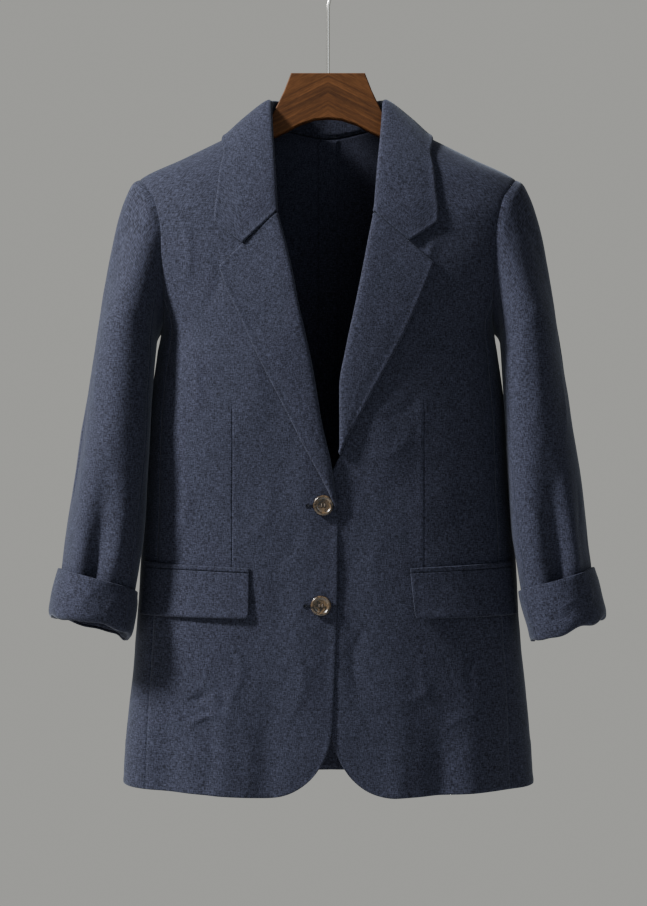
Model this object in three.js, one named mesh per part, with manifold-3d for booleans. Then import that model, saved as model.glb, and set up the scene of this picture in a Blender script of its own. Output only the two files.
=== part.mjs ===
// A two-button linen blazer on a walnut hanger with a steel hook.
// Millimetres, +Z up, and the blazer's front faces -Y. The origin is the inside of the hook's
// crown, where it sits on a rail. Right and left are the wearer's own: the right side is at -X.
//
// The body is one smooth form: at each height a rounded section, wider than deep. A point on it
// is given by the angle round the body, from 0 at the centre front through 90 at the side to
// 180 at the centre back, and by its height z. Every panel is a patch of that form with a
// wall's thickness, and what lies on a panel is a patch of the same form, moved out.

import * as THREE from 'three';
import { mergeVertices } from 'three/addons/utils/BufferGeometryUtils.js';
import Module from 'manifold-3d';

const wasm = await Module();
wasm.setup();

// Driving dimensions of the blazer
const NECK_HALF = 70;
const NECK_POINT_Z = -190;
const SHOULDER_Z = -254;
const BACK_NECK_DROP = 13;
const GORGE_Z = -295;
const CHEST_Z = -440;
// The front's tip at the neck point is cut off this far down, under the collar
const FRONT_TIP = 0.8;
const FORM_POWER = 2.4;

// Walls, and the clearances between pieces
const BODY_WALL = 1.6;
const SLEEVE_WALL = 1.4;
const TURNED_WALL = 2;
const SEAM_HALF_GAP = 0.15;
const ARMHOLE_GAP = 0.55;
const ROLL_RADIUS = 2.3;
const LEAF_LIFT = 2.4;
const SHOULDER_LEAF_LIFT = 3.8;
// The gap at the strip's seam, and how far the middle of its leaf stands proud
const LAPEL_BUILD = { gap: 0.45, crown: 1 };
const COLLAR_BUILD = { gap: 1, crown: 1.5 };

// The grids: steps across and down each kind of piece
const STEPS = {
  shoulder: 3, seam: 14, frontAcross: 14, backAcross: 11, pocketAcross: 10,
  lapel: 13, collar: 26, sleeveHead: 7, sleeve: 10,
};
// Rows draw closer together towards the hem, where the folds are deepest
const HEM_EASE = 0.86;

// The armhole, seen from the side: an egg round a centre on the side of the body
const ARMHOLE = { z: -334, high: 80, front: 55, back: 52, steps: 24, power: 2.4 };

// The two sides: the right front laps over the left one, each by this much off the form
const LAP_LIFT = 1.3;
const SIDES = [
  { name: 'right', sign: -1, lap: LAP_LIFT },
  { name: 'left', sign: 1, lap: -LAP_LIFT },
];

// The body's section at each height: half its width, and its depth to the front and back
const BODY = [
  { z: -190, half: 70, front: 26, back: 41 },
  { z: -203, half: 96, front: 34, back: 46 },
  { z: -232, half: 155, front: 50, back: 55 },
  { z: -254, half: 200, front: 60, back: 62 },
  { z: -270, half: 214, front: 66.5, back: 67 },
  { z: -290, half: 218, front: 74.5, back: 73 },
  { z: -320, half: 212, front: 83, back: 80 },
  { z: -350, half: 202, front: 90, back: 84 },
  { z: -380, half: 190, front: 94.5, back: 86 },
  { z: -414, half: 177, front: 98, back: 86 },
  { z: -440, half: 181, front: 98, back: 84 },
  { z: -487, half: 187.5, front: 97, back: 81 },
  { z: -520, half: 190.5, front: 96, back: 79 },
  { z: -600, half: 196, front: 92, back: 74 },
  { z: -660, half: 199.5, front: 92, back: 74.5 },
  { z: -693, half: 201.5, front: 92, back: 75.2 },
  { z: -800, half: 211, front: 91, back: 78 },
  { z: -905, half: 218.5, front: 90, back: 80 },
];

// The hem's height round the body
const HEM = [
  { angle: -10, z: -901 },
  { angle: 35, z: -901 },
  { angle: 75, z: -897 },
  { angle: 112, z: -896 },
  { angle: 180, z: -895.5 },
];

// Soft hanging folds: where each runs down, where it starts, its half width and its depth
const FOLDS = [
  { side: 'right', angle: 69, from: -770, to: -900, spread: 4.5, depth: -4.5 },
  { side: 'right', angle: 54, from: -700, to: -900, spread: 7, depth: 4.5 },
  { side: 'right', angle: 36, from: -740, to: -900, spread: 6, depth: -2.5 },
  { side: 'left', angle: 40, from: -720, to: -900, spread: 7, depth: 3 },
  { side: 'left', angle: 55, from: -790, to: -900, spread: 4.5, depth: -5 },
  { side: 'left', angle: 64, from: -740, to: -900, spread: 5, depth: 3.5 },
  { side: 'left', angle: 75, from: -760, to: -900, spread: 4, depth: -3 },
  { side: 'right', angle: 132, from: -640, to: -900, spread: 6, depth: 4 },
  { side: 'right', angle: 151, from: -700, to: -900, spread: 6, depth: -5 },
  { side: 'left', angle: 128, from: -690, to: -900, spread: 6, depth: -4.5 },
  { side: 'left', angle: 146, from: -620, to: -900, spread: 7, depth: 4.5 },
];

// Each front's inner edge down to the rounded corner: x towards its own side, as it is seen,
// and how far the panel's own edge lies behind that line, where the lapel rolls over it
const FRONT_EDGES = {
  right: [
    { z: -193.5, x: 69.4, behind: 0 },
    { z: -215, x: 66, behind: 0 },
    { z: -255, x: 59, behind: 2 },
    { z: -297, x: 52, behind: 4.6 },
    { z: -323, x: 45.3, behind: 3.4 },
    { z: -353, x: 38, behind: 3.4 },
    { z: -392, x: 30.1, behind: 3.4 },
    { z: -454, x: 16.4, behind: 3.4 },
    { z: -517, x: 5.6, behind: 3.4 },
    { z: -560, x: -4.1, behind: 3.8 },
    { z: -577, x: -5.5, behind: 3.6 },
    { z: -594, x: -6.6, behind: 0.6 },
    { z: -615, x: -10.2, behind: 0 },
    { z: -737, x: -8.2, behind: 0 },
    { z: -814, x: -5.1, behind: 0 },
  ],
  left: [
    { z: -193.5, x: 69.4, behind: 0 },
    { z: -215, x: 66, behind: 0 },
    { z: -255, x: 57, behind: 2.4 },
    { z: -299, x: 46.5, behind: 6 },
    { z: -359, x: 34.6, behind: 3.4 },
    { z: -407, x: 24.6, behind: 3.4 },
    { z: -438, x: 17.9, behind: 3.4 },
    { z: -478, x: 11.4, behind: 4.5 },
    { z: -540, x: 12, behind: 5.5 },
    { z: -556, x: 7, behind: 9 },
    { z: -578, x: -3, behind: 5 },
    { z: -600, x: -12, behind: 0 },
    { z: -720, x: -12, behind: 0 },
    { z: -805, x: 0.5, behind: 0 },
  ],
};

// The rounded hem corners: the quarter round's centre and reach
const CORNERS = {
  right: { x: 68, z: -814, wide: 73, power: 2.2 },
  left: { x: 70.5, z: -805, wide: 70, power: 2.2 },
};
const CORNER_BOTTOM = -901;
const CORNER_SPLIT_Z = -878;

// Lapels: the roll line's height, and the outer edge's point that lies opposite it
const LAPELS = {
  right: [
    { rollZ: -297, edgeX: 112, edgeZ: -352.5 },
    { rollZ: -323, edgeX: 104.9, edgeZ: -374.5 },
    { rollZ: -353, edgeX: 93, edgeZ: -398.5 },
    { rollZ: -392, edgeX: 78, edgeZ: -432 },
    { rollZ: -430, edgeX: 62.5, edgeZ: -464 },
    { rollZ: -480, edgeX: 45, edgeZ: -498 },
    { rollZ: -530, edgeX: 24, edgeZ: -537 },
    { rollZ: -553, edgeX: 11.5, edgeZ: -558 },
    { rollZ: -568, edgeX: 4.4, edgeZ: -572 },
  ],
  left: [
    { rollZ: -299, edgeX: 108.2, edgeZ: -349.5 },
    { rollZ: -322, edgeX: 101, edgeZ: -368 },
    { rollZ: -350, edgeX: 92, edgeZ: -390 },
    { rollZ: -380, edgeX: 80, edgeZ: -417 },
    { rollZ: -412, edgeX: 67, edgeZ: -443 },
    { rollZ: -450, edgeX: 50, edgeZ: -475 },
    { rollZ: -490, edgeX: 35, edgeZ: -505 },
    { rollZ: -520, edgeX: 24.5, edgeZ: -527 },
    { rollZ: -534, edgeX: 20, edgeZ: -539 },
  ],
};

// Collar, from the centre back at 0 to the gorge at 6: its fold line, and its outer edge as
// a place on the form
const COLLAR = [
  { at: 0, foldX: 0, foldY: 40, foldZ: -168, edgeAngle: 180, edgeZ: -221 },
  { at: 1, foldX: 25, foldY: 37, foldZ: -167.5, edgeAngle: 144, edgeZ: -221 },
  { at: 2, foldX: 46, foldY: 26, foldZ: -167, edgeAngle: 118.5, edgeZ: -217 },
  { at: 3, foldX: 59.5, foldY: 2, foldZ: -169, edgeAngle: 90, edgeZ: -209.5 },
  { at: 4, foldX: 56.5, foldY: -36, foldZ: -211, edgeAngle: 71.5, edgeZ: -228 },
  { at: 5, foldX: 53, foldY: -61, foldZ: -252, edgeAngle: 62.3, edgeZ: -268 },
  { at: 6, foldX: 50, foldY: -78, foldZ: -296.2, edgeAngle: 58, edgeZ: -307.2 },
];
const SHOULDER_AT = 3;
const COLLAR_SHIFT = -2;
const NOTCH = { part: 0.54, drop: 23.5, from: 4.4 };

// Sleeves: the outer and inner sides, the half depth, its centre, and how far the oval's
// front end turns in towards the body, in degrees
const SLEEVE = [
  { z: -430, outer: 246.5, inner: 182.2, depth: 64, centre: -16, toe: 6 },
  { z: -487, outer: 255.3, inner: 185.5, depth: 60, centre: -24, toe: 11 },
  { z: -522, outer: 260.5, inner: 187.4, depth: 58, centre: -29, toe: 14 },
  { z: -574, outer: 267.8, inner: 189.8, depth: 55, centre: -35, toe: 16 },
  { z: -627, outer: 275.5, inner: 192.9, depth: 52, centre: -39, toe: 16 },
  { z: -662, outer: 279.7, inner: 198, depth: 50, centre: -41, toe: 16 },
  { z: -693, outer: 283.4, inner: 203, depth: 48.5, centre: -43, toe: 16 },
  { z: -740, outer: 289, inner: 210.5, depth: 47, centre: -45, toe: 16 },
];
const SLEEVE_POWER = 2.2;
const SLEEVE_HEAD_Z = -430;
// The sleeve's folds die out over this height, above and just under the turn-up's edge
const SLEEVE_FOLD_END = { from: 655, to: 679 };
const SLEEVE_TILT = [
  { z: -430, tilt: 0 },
  { z: -600, tilt: 9 },
  { z: -680, tilt: 13 },
  { z: -740, tilt: 12.5 },
];
// The two pieces that a sleeve is sewn of, between the turns of their seams
const SLEEVE_PIECES = [
  { name: 'top_sleeve', from: -120, to: 120 },
  { name: 'under_sleeve', from: 120, to: 240 },
];
// How the cloth leaves the armhole, at its top and at its foot
const HEAD_START = { top: [75, 0, -8], foot: [4, 0, -16], forward: 20 };
const SLEEVE_FOLDS = [
  { side: 'right', angle: 84, from: -560, to: -672, spread: 13, depth: -7 },
  { side: 'right', angle: 112, from: -600, to: -672, spread: 12, depth: 3 },
  { side: 'right', angle: 60, from: -520, to: -665, spread: 14, depth: 2.5 },
  { side: 'left', angle: 95, from: -540, to: -672, spread: 16, depth: -7.5 },
  { side: 'left', angle: 62, from: -560, to: -672, spread: 14, depth: 3.5 },
  { side: 'left', angle: 128, from: -520, to: -670, spread: 14, depth: 3 },
  { side: 'right', angle: 268, from: -500, to: -670, spread: 16, depth: -5 },
  { side: 'left', angle: 262, from: -520, to: -672, spread: 16, depth: -5 },
];

// Turn-ups: the wall's middle line, as height over the bottom fold and distance off the
// sleeve. The puff is full on the outer side and smaller next to the body.
const CUFF_BOTTOM_Z = -728.5;
const CUFF_INNER_PUFF = 0.44;
const CUFF = [
  { up: 48.5, off: 1.5, puff: 1 },
  { up: 38, off: 1.4, puff: 3 },
  { up: 22, off: 1.4, puff: 5 },
  { up: 9, off: 1.4, puff: 5.7 },
  { up: 3, off: 1.4, puff: 4.4 },
  { up: 1, off: 1.2, puff: 1.8 },
  { up: 1, off: -1, puff: 0 },
];
const SLEEVE_END_UP = 2.6;

// Hip pockets, on each front and a little way on to the side panel
const WELT = {
  inner: { x: 82.5, top: -664, bottom: -668.8 },
  outer: { angle: 80.5, top: -659.2, bottom: -664.4 },
  wall: 1.8,
};
const FLAP = {
  inner: { x: 82.5, top: -669.3, bottomX: 87, bottom: -716.5 },
  outer: { angle: 80, top: -664.9, bottom: -716 },
  wall: 2,
};
const POCKET_LIFT = 0.9;

// Buttons: across, thick, and the well and holes in the face
const BUTTON = { radius: 10.5, thick: 4, well: 7.2, wellDeep: 1.3, hole: 1, holeOut: 2.3 };
const BUTTONS = [
  { name: 'button_top', x: -5, z: -599 },
  { name: 'button_bottom', x: -7.5, z: -702 },
];
const BUTTON_LIFT = 0.35;

// Hanger: a flat body with a raised block, and a bored hole for the hook
const HANGER_FRONT_Y = -7;
const HANGER_THICK = 14;
const HANGER_BEVEL = 1;
const HANGER_BELOW_RIDGE = 3;
const HANGER_END = { x: 190, bottom: -270 };
const BLOCK = [
  { x: 39.5, z: -140 },
  { x: 46.7, z: -158.4 },
  { x: 53.7, z: -173.3 },
  { x: 59.5, z: -184 },
  { x: 64, z: -193 },
  { x: 74, z: -199 },
];
const ARCH = [
  { x: 0, z: -187.9 },
  { x: 15, z: -189.3 },
  { x: 31.3, z: -195 },
  { x: 45.8, z: -203 },
  { x: 62, z: -210.5 },
];
const HOOK = {
  wire: 1.9, radius: 22, crownZ: 2, foot: -163, straightTop: -72, startTurn: -22, endTurn: 200,
};
// The bend that takes the wire from the stem out to the crown
const HOOK_BEND = [
  { x: 2.5, z: -58 },
  { x: 10.5, z: -43.5 },
];
const BORE_RADIUS = 2.25;
const BORE_DEEP = 25;

const rad = THREE.MathUtils.degToRad;
const deg = THREE.MathUtils.radToDeg;
const { lerp, clamp, smoothstep } = THREE.MathUtils;

// A smooth curve through one column of a table, which keeps the rows' rises and falls
function curve(rows, key, value) {
  const sorted = [...rows].sort((a, b) => a[key] - b[key]);
  const xs = sorted.map((row) => row[key]);
  const ys = sorted.map((row) => row[value]);
  const last = xs.length - 1;
  const rises = ys.slice(1).map((y, i) => (y - ys[i]) / (xs[i + 1] - xs[i]));
  const slopes = ys.map((_, i) => {
    if (i === 0) return rises[0];
    if (i === last) return rises[last - 1];
    const [before, after] = [rises[i - 1], rises[i]];
    return before * after > 0 ? (2 * before * after) / (before + after) : 0;
  });
  return (x) => {
    const at = clamp(x, xs[0], xs[last]);
    let i = xs.findIndex((start, k) => k < last && at <= xs[k + 1]);
    i = clamp(i, 0, last - 1);
    const step = xs[i + 1] - xs[i];
    const t = (at - xs[i]) / step;
    const bend = t * t * (3 - 2 * t);
    const in0 = t * (1 - t) ** 2 * step;
    const in1 = t * t * (t - 1) * step;
    return ys[i] * (1 - bend) + ys[i + 1] * bend + slopes[i] * in0 + slopes[i + 1] * in1;
  };
}

// Distance from the centre to a rounded section's rim, in the direction of an angle that is
// measured from the `ahead` axis towards the `across` one
function reach(angle, ahead, across, power) {
  const one = Math.abs(Math.cos(angle) / ahead) ** power;
  const two = Math.abs(Math.sin(angle) / across) ** power;
  return (one + two) ** (-1 / power);
}

// How much of a fold is there: full on its line, nothing two or three half widths away
function foldAt(folds, side, angle, z) {
  return folds
    .filter((fold) => fold.side === side.name)
    .reduce((sum, { angle: middle, from, to, spread, depth }) => {
      const across = Math.exp(-(((angle - middle) / spread) ** 2));
      return sum + depth * across * smoothstep(-z, -from, -to);
    }, 0);
}

const bodyHalf = curve(BODY, 'z', 'half');
const bodyFront = curve(BODY, 'z', 'front');
const bodyBack = curve(BODY, 'z', 'back');
const hemZ = curve(HEM, 'angle', 'z');

function onForm(angle, z) {
  const turn = rad(angle);
  const depth = Math.cos(turn) > 0 ? bodyFront(z) : bodyBack(z);
  const out = reach(turn, depth, bodyHalf(z), FORM_POWER);
  return new THREE.Vector3(out * Math.sin(turn), -out * Math.cos(turn), z);
}

function formNormal(angle, z) {
  const round = onForm(angle + 0.5, z).sub(onForm(angle - 0.5, z));
  const down = onForm(angle, z - 1).sub(onForm(angle, z + 1));
  return down.cross(round).normalize();
}

// The angle at which the front of the form has this x
function frontAngle(x, z) {
  const share = Math.abs(x / bodyHalf(z)) ** FORM_POWER;
  const y = bodyFront(z) * Math.max(1 - share, 0) ** (1 / FORM_POWER);
  return deg(Math.atan2(x, y));
}

// A point of one side's cloth, `out` from its outer face
function skin(side, angle, z, out = 0) {
  const point = onForm(angle, z);
  const centre = angle < 90 ? 1 - smoothstep(Math.abs(point.x), 20, 60) : 0;
  const lift = out + foldAt(FOLDS, side, angle, z) + side.lap * centre;
  point.addScaledVector(formNormal(angle, z), lift);
  return toSide(side, point);
}

function toSide(side, point) {
  point.x *= side.sign;
  return point;
}

// Walls: a grid of points becomes a closed solid

// The direction across a grid of points, at each of them
function gridNormals(grid, round) {
  const rows = grid.length;
  const columns = grid[0].length;
  return grid.map((row, r) =>
    row.map((_, c) => {
      const before = round ? (c + columns - 1) % columns : Math.max(c - 1, 0);
      const after = round ? (c + 1) % columns : Math.min(c + 1, columns - 1);
      const along = row[after].clone().sub(row[before]);
      const down = grid[Math.min(r + 1, rows - 1)][c].clone().sub(grid[Math.max(r - 1, 0)][c]);
      return along.cross(down).normalize();
    }));
}

function moved(grid, normals, distance) {
  return grid.map((row, r) =>
    row.map((point, c) => point.clone().addScaledVector(normals[r][c], distance)));
}

function volumeOf(positions, faces) {
  const [a, b, c] = [new THREE.Vector3(), new THREE.Vector3(), new THREE.Vector3()];
  let sum = 0;
  for (let i = 0; i < faces.length; i += 3) {
    a.fromArray(positions, faces[i] * 3);
    b.fromArray(positions, faces[i + 1] * 3);
    c.fromArray(positions, faces[i + 2] * 3);
    sum += a.dot(b.cross(c));
  }
  return sum;
}

// The solid between two grids of points, closed round its edges. A round grid's last column
// meets its first one, as on a sleeve.
function solidBetween(outer, inner, round = false) {
  const rows = outer.length;
  const columns = outer[0].length;
  const positions = [...outer.flat(), ...inner.flat()].flatMap((point) => point.toArray());
  const at = (r, c) => r * columns + (c % columns);
  const behind = rows * columns;
  const faces = [];
  for (let r = 0; r < rows - 1; r += 1) {
    for (let c = 0; c < (round ? columns : columns - 1); c += 1) {
      const [a, b, d, e] = [at(r, c), at(r, c + 1), at(r + 1, c + 1), at(r + 1, c)];
      faces.push(a, b, d, a, d, e);
      faces.push(a + behind, d + behind, b + behind, a + behind, e + behind, d + behind);
    }
  }
  const across = [...Array(columns).keys()];
  const downward = [...Array(rows).keys()];
  const first = across.map((c) => at(0, c));
  const last = across.map((c) => at(rows - 1, c)).reverse();
  const rims = round
    ? [first, last]
    : [[...first, ...downward.slice(1, -1).map((r) => at(r, columns - 1)), ...last,
      ...downward.slice(1, -1).reverse().map((r) => at(r, 0))]];
  for (const rim of rims) {
    rim.forEach((from, i) => {
      const to = rim[(i + 1) % rim.length];
      faces.push(to, from, from + behind, to, from + behind, to + behind);
    });
  }
  if (volumeOf(positions, faces) < 0) faces.reverse();
  const geometry = new THREE.BufferGeometry();
  geometry.setAttribute('position', new THREE.Float32BufferAttribute(positions, 3));
  geometry.setIndex(faces);
  geometry.computeVertexNormals();
  return geometry;
}

// A wall with the given grid as its middle
function wallRound(grid, thickness, round = false) {
  const normals = gridNormals(grid, round);
  return solidBetween(
    moved(grid, normals, thickness / 2), moved(grid, normals, -thickness / 2), round);
}

// Body panels

// A patch between four edges, each a function that gives { angle, z }
function patch({ left, right, top, bottom }, u, v) {
  const [l, r, t, b] = [left(v), right(v), top(u), bottom(u)];
  const [t0, t1, b0, b1] = [top(0), top(1), bottom(0), bottom(1)];
  const value = (key) =>
    lerp(l[key], r[key], u)
    + (1 - v) * (t[key] - lerp(t0[key], t1[key], u))
    + v * (b[key] - lerp(b0[key], b1[key], u));
  return { angle: value('angle'), z: value('z') };
}

const straight = (from, to) => (t) => ({
  angle: lerp(from.angle, to.angle, t),
  z: lerp(from.z, to.z, t),
});

// A panel's solid: the patch's grid on the form, trimmed by half a seam gap all round
function panelSolid(side, edges, acrossSteps, downSteps, { low = -BODY_WALL, high = 0 } = {}) {
  const place = (u, v, out) => {
    const { angle, z } = patch(edges, u, v);
    return skin(side, angle, z, out);
  };
  const widths = downSteps.map((v) => place(0, v, 0).distanceTo(place(1, v, 0)));
  const heights = acrossSteps.map((u) => place(u, 0, 0).distanceTo(place(u, 1, 0)));
  const trimmed = (t, length) => {
    const gap = SEAM_HALF_GAP / length;
    return clamp(t, gap, 1 - gap);
  };
  const layer = (out) => downSteps.map((v, r) =>
    acrossSteps.map((u, c) => place(trimmed(u, widths[r]), trimmed(v, heights[c]), out)));
  return solidBetween(layer(high), layer(low));
}

const evenly = (count, ease = 1) =>
  Array.from({ length: count + 1 }, (_, i) => (i / count) ** ease);

// The armhole's point at a turn round it: 0 at the top, 90 at the front and 180 at the foot
function armhole(turn) {
  const ahead = turn <= 180;
  const deep = ahead ? ARMHOLE.front : ARMHOLE.back;
  const out = reach(rad(turn), ARMHOLE.high, deep, ARMHOLE.power);
  const z = ARMHOLE.z + out * Math.cos(rad(turn));
  const y = out * Math.abs(Math.sin(rad(turn)));
  const depth = ahead ? bodyFront(z) : bodyBack(z);
  const x = bodyHalf(z) * (1 - (y / depth) ** FORM_POWER) ** (1 / FORM_POWER);
  return { angle: deg(Math.atan2(x, ahead ? y : -y)), z };
}

const FRONT_SEAM_TURN = 135;
const BACK_SEAM_TURN = 225;
const BACK_SEAM_ANGLE = 112;
const BACK_SEAM_BEND = 120;
const FRONT_SEAM_ANGLE = 75;
const ARMHOLE_STEPS = (FRONT_SEAM_TURN / 360) * ARMHOLE.steps;
const PANEL_STEPS = STEPS.shoulder + ARMHOLE_STEPS + STEPS.seam;

// The two long seams, from the armhole down to the hem
function frontSeam(t) {
  const top = armhole(FRONT_SEAM_TURN);
  const angle = lerp(top.angle, FRONT_SEAM_ANGLE, smoothstep(t, 0, 0.4));
  return { angle, z: lerp(top.z, hemZ(FRONT_SEAM_ANGLE), t) };
}

function backSeam(t) {
  const top = armhole(BACK_SEAM_TURN);
  const z = lerp(top.z, hemZ(BACK_SEAM_ANGLE), t);
  const bend = Math.sin(Math.min((top.z - z) / BACK_SEAM_BEND, 1) * (Math.PI / 2));
  return { angle: lerp(top.angle, BACK_SEAM_ANGLE, bend), z };
}

// The long edge that a front or a back has on its outer side: the shoulder seam, the armhole
// and the side seam
function outerEdge(topZ, armholeTurn, seam) {
  return (v) => {
    const step = v * PANEL_STEPS;
    if (step < STEPS.shoulder) {
      return { angle: 90, z: lerp(topZ, SHOULDER_Z, step / STEPS.shoulder) };
    }
    if (step < STEPS.shoulder + ARMHOLE_STEPS) {
      return armhole(armholeTurn((step - STEPS.shoulder) * (360 / ARMHOLE.steps)));
    }
    return seam(((step - STEPS.shoulder - ARMHOLE_STEPS) / STEPS.seam) ** HEM_EASE);
  };
}

const edgeAt = Object.fromEntries(SIDES.map(({ name }) => {
  const seen = curve(FRONT_EDGES[name], 'z', 'x');
  const behind = curve(FRONT_EDGES[name], 'z', 'behind');
  return [name, { seen, panel: (z) => seen(z) + behind(z) }];
}));

// The front's inner edge at a height, through the upper part of the rounded corner
function frontEdgeX(side, z) {
  const { x, z: top, wide, power } = CORNERS[side.name];
  if (z > top) return edgeAt[side.name].panel(z);
  const down = (top - z) / (top - CORNER_BOTTOM);
  return x - wide * (1 - down ** power) ** (1 / power);
}

// The front's lower edge at an x, from the lower part of the rounded corner to the side
function frontHemZ(side, x) {
  const { x: centre, z: top, wide, power } = CORNERS[side.name];
  if (x > centre) return hemZ(frontAngle(x, hemZ(0)));
  const across = (centre - x) / wide;
  return top - (top - CORNER_BOTTOM) * (1 - across ** power) ** (1 / power);
}

// The front's rows fall from the neck to the chest as its outer edge passes the armhole, and
// from the chest to the hem beside the side seam
function frontSolid(side) {
  const topZ = NECK_POINT_Z - FRONT_TIP;
  const chestV = (STEPS.shoulder + ARMHOLE_STEPS) / PANEL_STEPS;
  const leftZ = (v) => (v < chestV
    ? lerp(FRONT_EDGES[side.name][0].z, CHEST_Z, (v / chestV) ** 1.1)
    : lerp(CHEST_Z, CORNER_SPLIT_Z, ((v - chestV) / (1 - chestV)) ** HEM_EASE));
  const left = (v) => {
    const z = leftZ(v);
    return { angle: frontAngle(frontEdgeX(side, z), z), z };
  };
  const right = outerEdge(topZ, (turn) => turn, frontSeam);
  const cornerX = frontEdgeX(side, CORNER_SPLIT_Z);
  const seamFoot = frontSeam(1);
  const seamX = onForm(seamFoot.angle, seamFoot.z).x;
  const bottom = (u) => {
    const x = lerp(cornerX, seamX, u);
    const z = frontHemZ(side, x);
    return { angle: frontAngle(x, z), z };
  };
  const edges = { left, right, top: straight(left(0), right(0)), bottom };
  return panelSolid(side, edges, evenly(STEPS.frontAcross, 1.15), evenly(PANEL_STEPS));
}

const neckZ = (angle) => NECK_POINT_Z - BACK_NECK_DROP * Math.sin(rad(angle - 90)) ** 2;

function backSolid(side) {
  const right = outerEdge(NECK_POINT_Z, (turn) => 360 - turn, backSeam);
  const left = (v) => ({ angle: 180, z: lerp(neckZ(180), hemZ(180), v ** 1.25) });
  const top = (u) => {
    const angle = lerp(180, 90, u);
    return { angle, z: neckZ(angle) };
  };
  const bottom = (u) => {
    const angle = lerp(180, BACK_SEAM_ANGLE, u);
    return { angle, z: hemZ(angle) };
  };
  const edges = { left, right, top, bottom };
  return panelSolid(side, edges, evenly(STEPS.backAcross), evenly(PANEL_STEPS));
}

function sideSolid(side) {
  const columns = ((BACK_SEAM_TURN - FRONT_SEAM_TURN) / 360) * ARMHOLE.steps;
  const top = (u) => armhole(lerp(FRONT_SEAM_TURN, BACK_SEAM_TURN, u));
  const bottom = (u) => {
    const angle = lerp(FRONT_SEAM_ANGLE, BACK_SEAM_ANGLE, u);
    return { angle, z: hemZ(angle) };
  };
  const edges = { left: frontSeam, right: backSeam, top, bottom };
  return panelSolid(side, edges, evenly(columns), evenly(STEPS.seam, HEM_EASE));
}

// Lapels and collar: strips that start in a seam, roll over a fold line and lie back

// Where along a turned strip's section its points stand: 0 at the seam, 2 on the fold line, 4 in
// the middle of the leaf and 5 at its edge
const TURNED_STATIONS = [0, 1, 1.5, 2, 2.5, 3, 3.5, 4, 4.5, 5];
const LEAF_START = TURNED_STATIONS.indexOf(3);

// One section of a turned strip. `over` points out of the cloth below, `towards` to the fold.
function turnedSection({ seam, gap, fold, edge, over, towards, crown }) {
  const shifted = (point, along, out) =>
    point.clone().addScaledVector(towards, along).addScaledVector(over, out);
  const under = shifted(fold, -ROLL_RADIUS, -ROLL_RADIUS * 0.92);
  const back = shifted(fold, -ROLL_RADIUS, ROLL_RADIUS);
  const middle = back.clone().lerp(edge, NOTCH.part).addScaledVector(over, crown);
  const start = shifted(seam, gap, -BODY_WALL / 2);
  const path = new THREE.CatmullRomCurve3(
    [start, under, shifted(fold, -TURNED_WALL / 2, 0), back, middle, edge], false, 'centripetal');
  return TURNED_STATIONS.map((station) => path.getPoint(station / TURNED_STATIONS.at(-1)));
}

// The middle of a leaf that lies on the front, `out` from its outer face
const leafPoint = (side, x, z, out) => skin(side, frontAngle(x, z), z, out);

function lapelSolid(side) {
  const rows = LAPELS[side.name].map((row, i) => ({ at: i, ...row }));
  const rollZ = curve(rows, 'at', 'rollZ');
  const edgeX = curve(rows, 'at', 'edgeX');
  const edgeZ = curve(rows, 'at', 'edgeZ');
  const grid = evenly(STEPS.lapel).map((t) => {
    const at = t * (rows.length - 1);
    const z = rollZ(at);
    const x = edgeAt[side.name].seen(z);
    const away = new THREE.Vector2(edgeX(at) - x, edgeZ(at) - z).normalize();
    const seamAway = edgeAt[side.name].panel(z) - x;
    const fold = leafPoint(side, x, z, ROLL_RADIUS - 0.8);
    const seam = leafPoint(side, x + away.x * seamAway, z + away.y * seamAway, 0);
    const over = toSide(side, formNormal(frontAngle(x, z), z));
    const towards = leafPoint(side, x, z, 0)
      .sub(leafPoint(side, x + away.x, z + away.y, 0)).normalize();
    const edge = leafPoint(side, edgeX(at), edgeZ(at), LEAF_LIFT);
    return turnedSection({ ...LAPEL_BUILD, seam, fold, edge, over, towards });
  });
  return wallRound(grid, TURNED_WALL);
}

// The neck seam from the centre back at 0, through the shoulder at 3, to the gorge at 6
function neckSeam(side, at) {
  if (at <= SHOULDER_AT) {
    const angle = lerp(180, 90, at / SHOULDER_AT);
    return { angle, z: neckZ(angle) };
  }
  const tip = FRONT_EDGES[side.name][0];
  const z = lerp(NECK_POINT_Z, GORGE_Z, (at - SHOULDER_AT) / SHOULDER_AT);
  const x = z > tip.z
    ? lerp(NECK_HALF, tip.x, (NECK_POINT_Z - z) / (NECK_POINT_Z - tip.z))
    : edgeAt[side.name].panel(z);
  return { angle: frontAngle(x, z), z };
}

const collarCurves = Object.fromEntries(
  ['foldX', 'foldY', 'foldZ', 'edgeAngle', 'edgeZ'].map((key) =>
    [key, curve(COLLAR, 'at', key)]));

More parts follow.
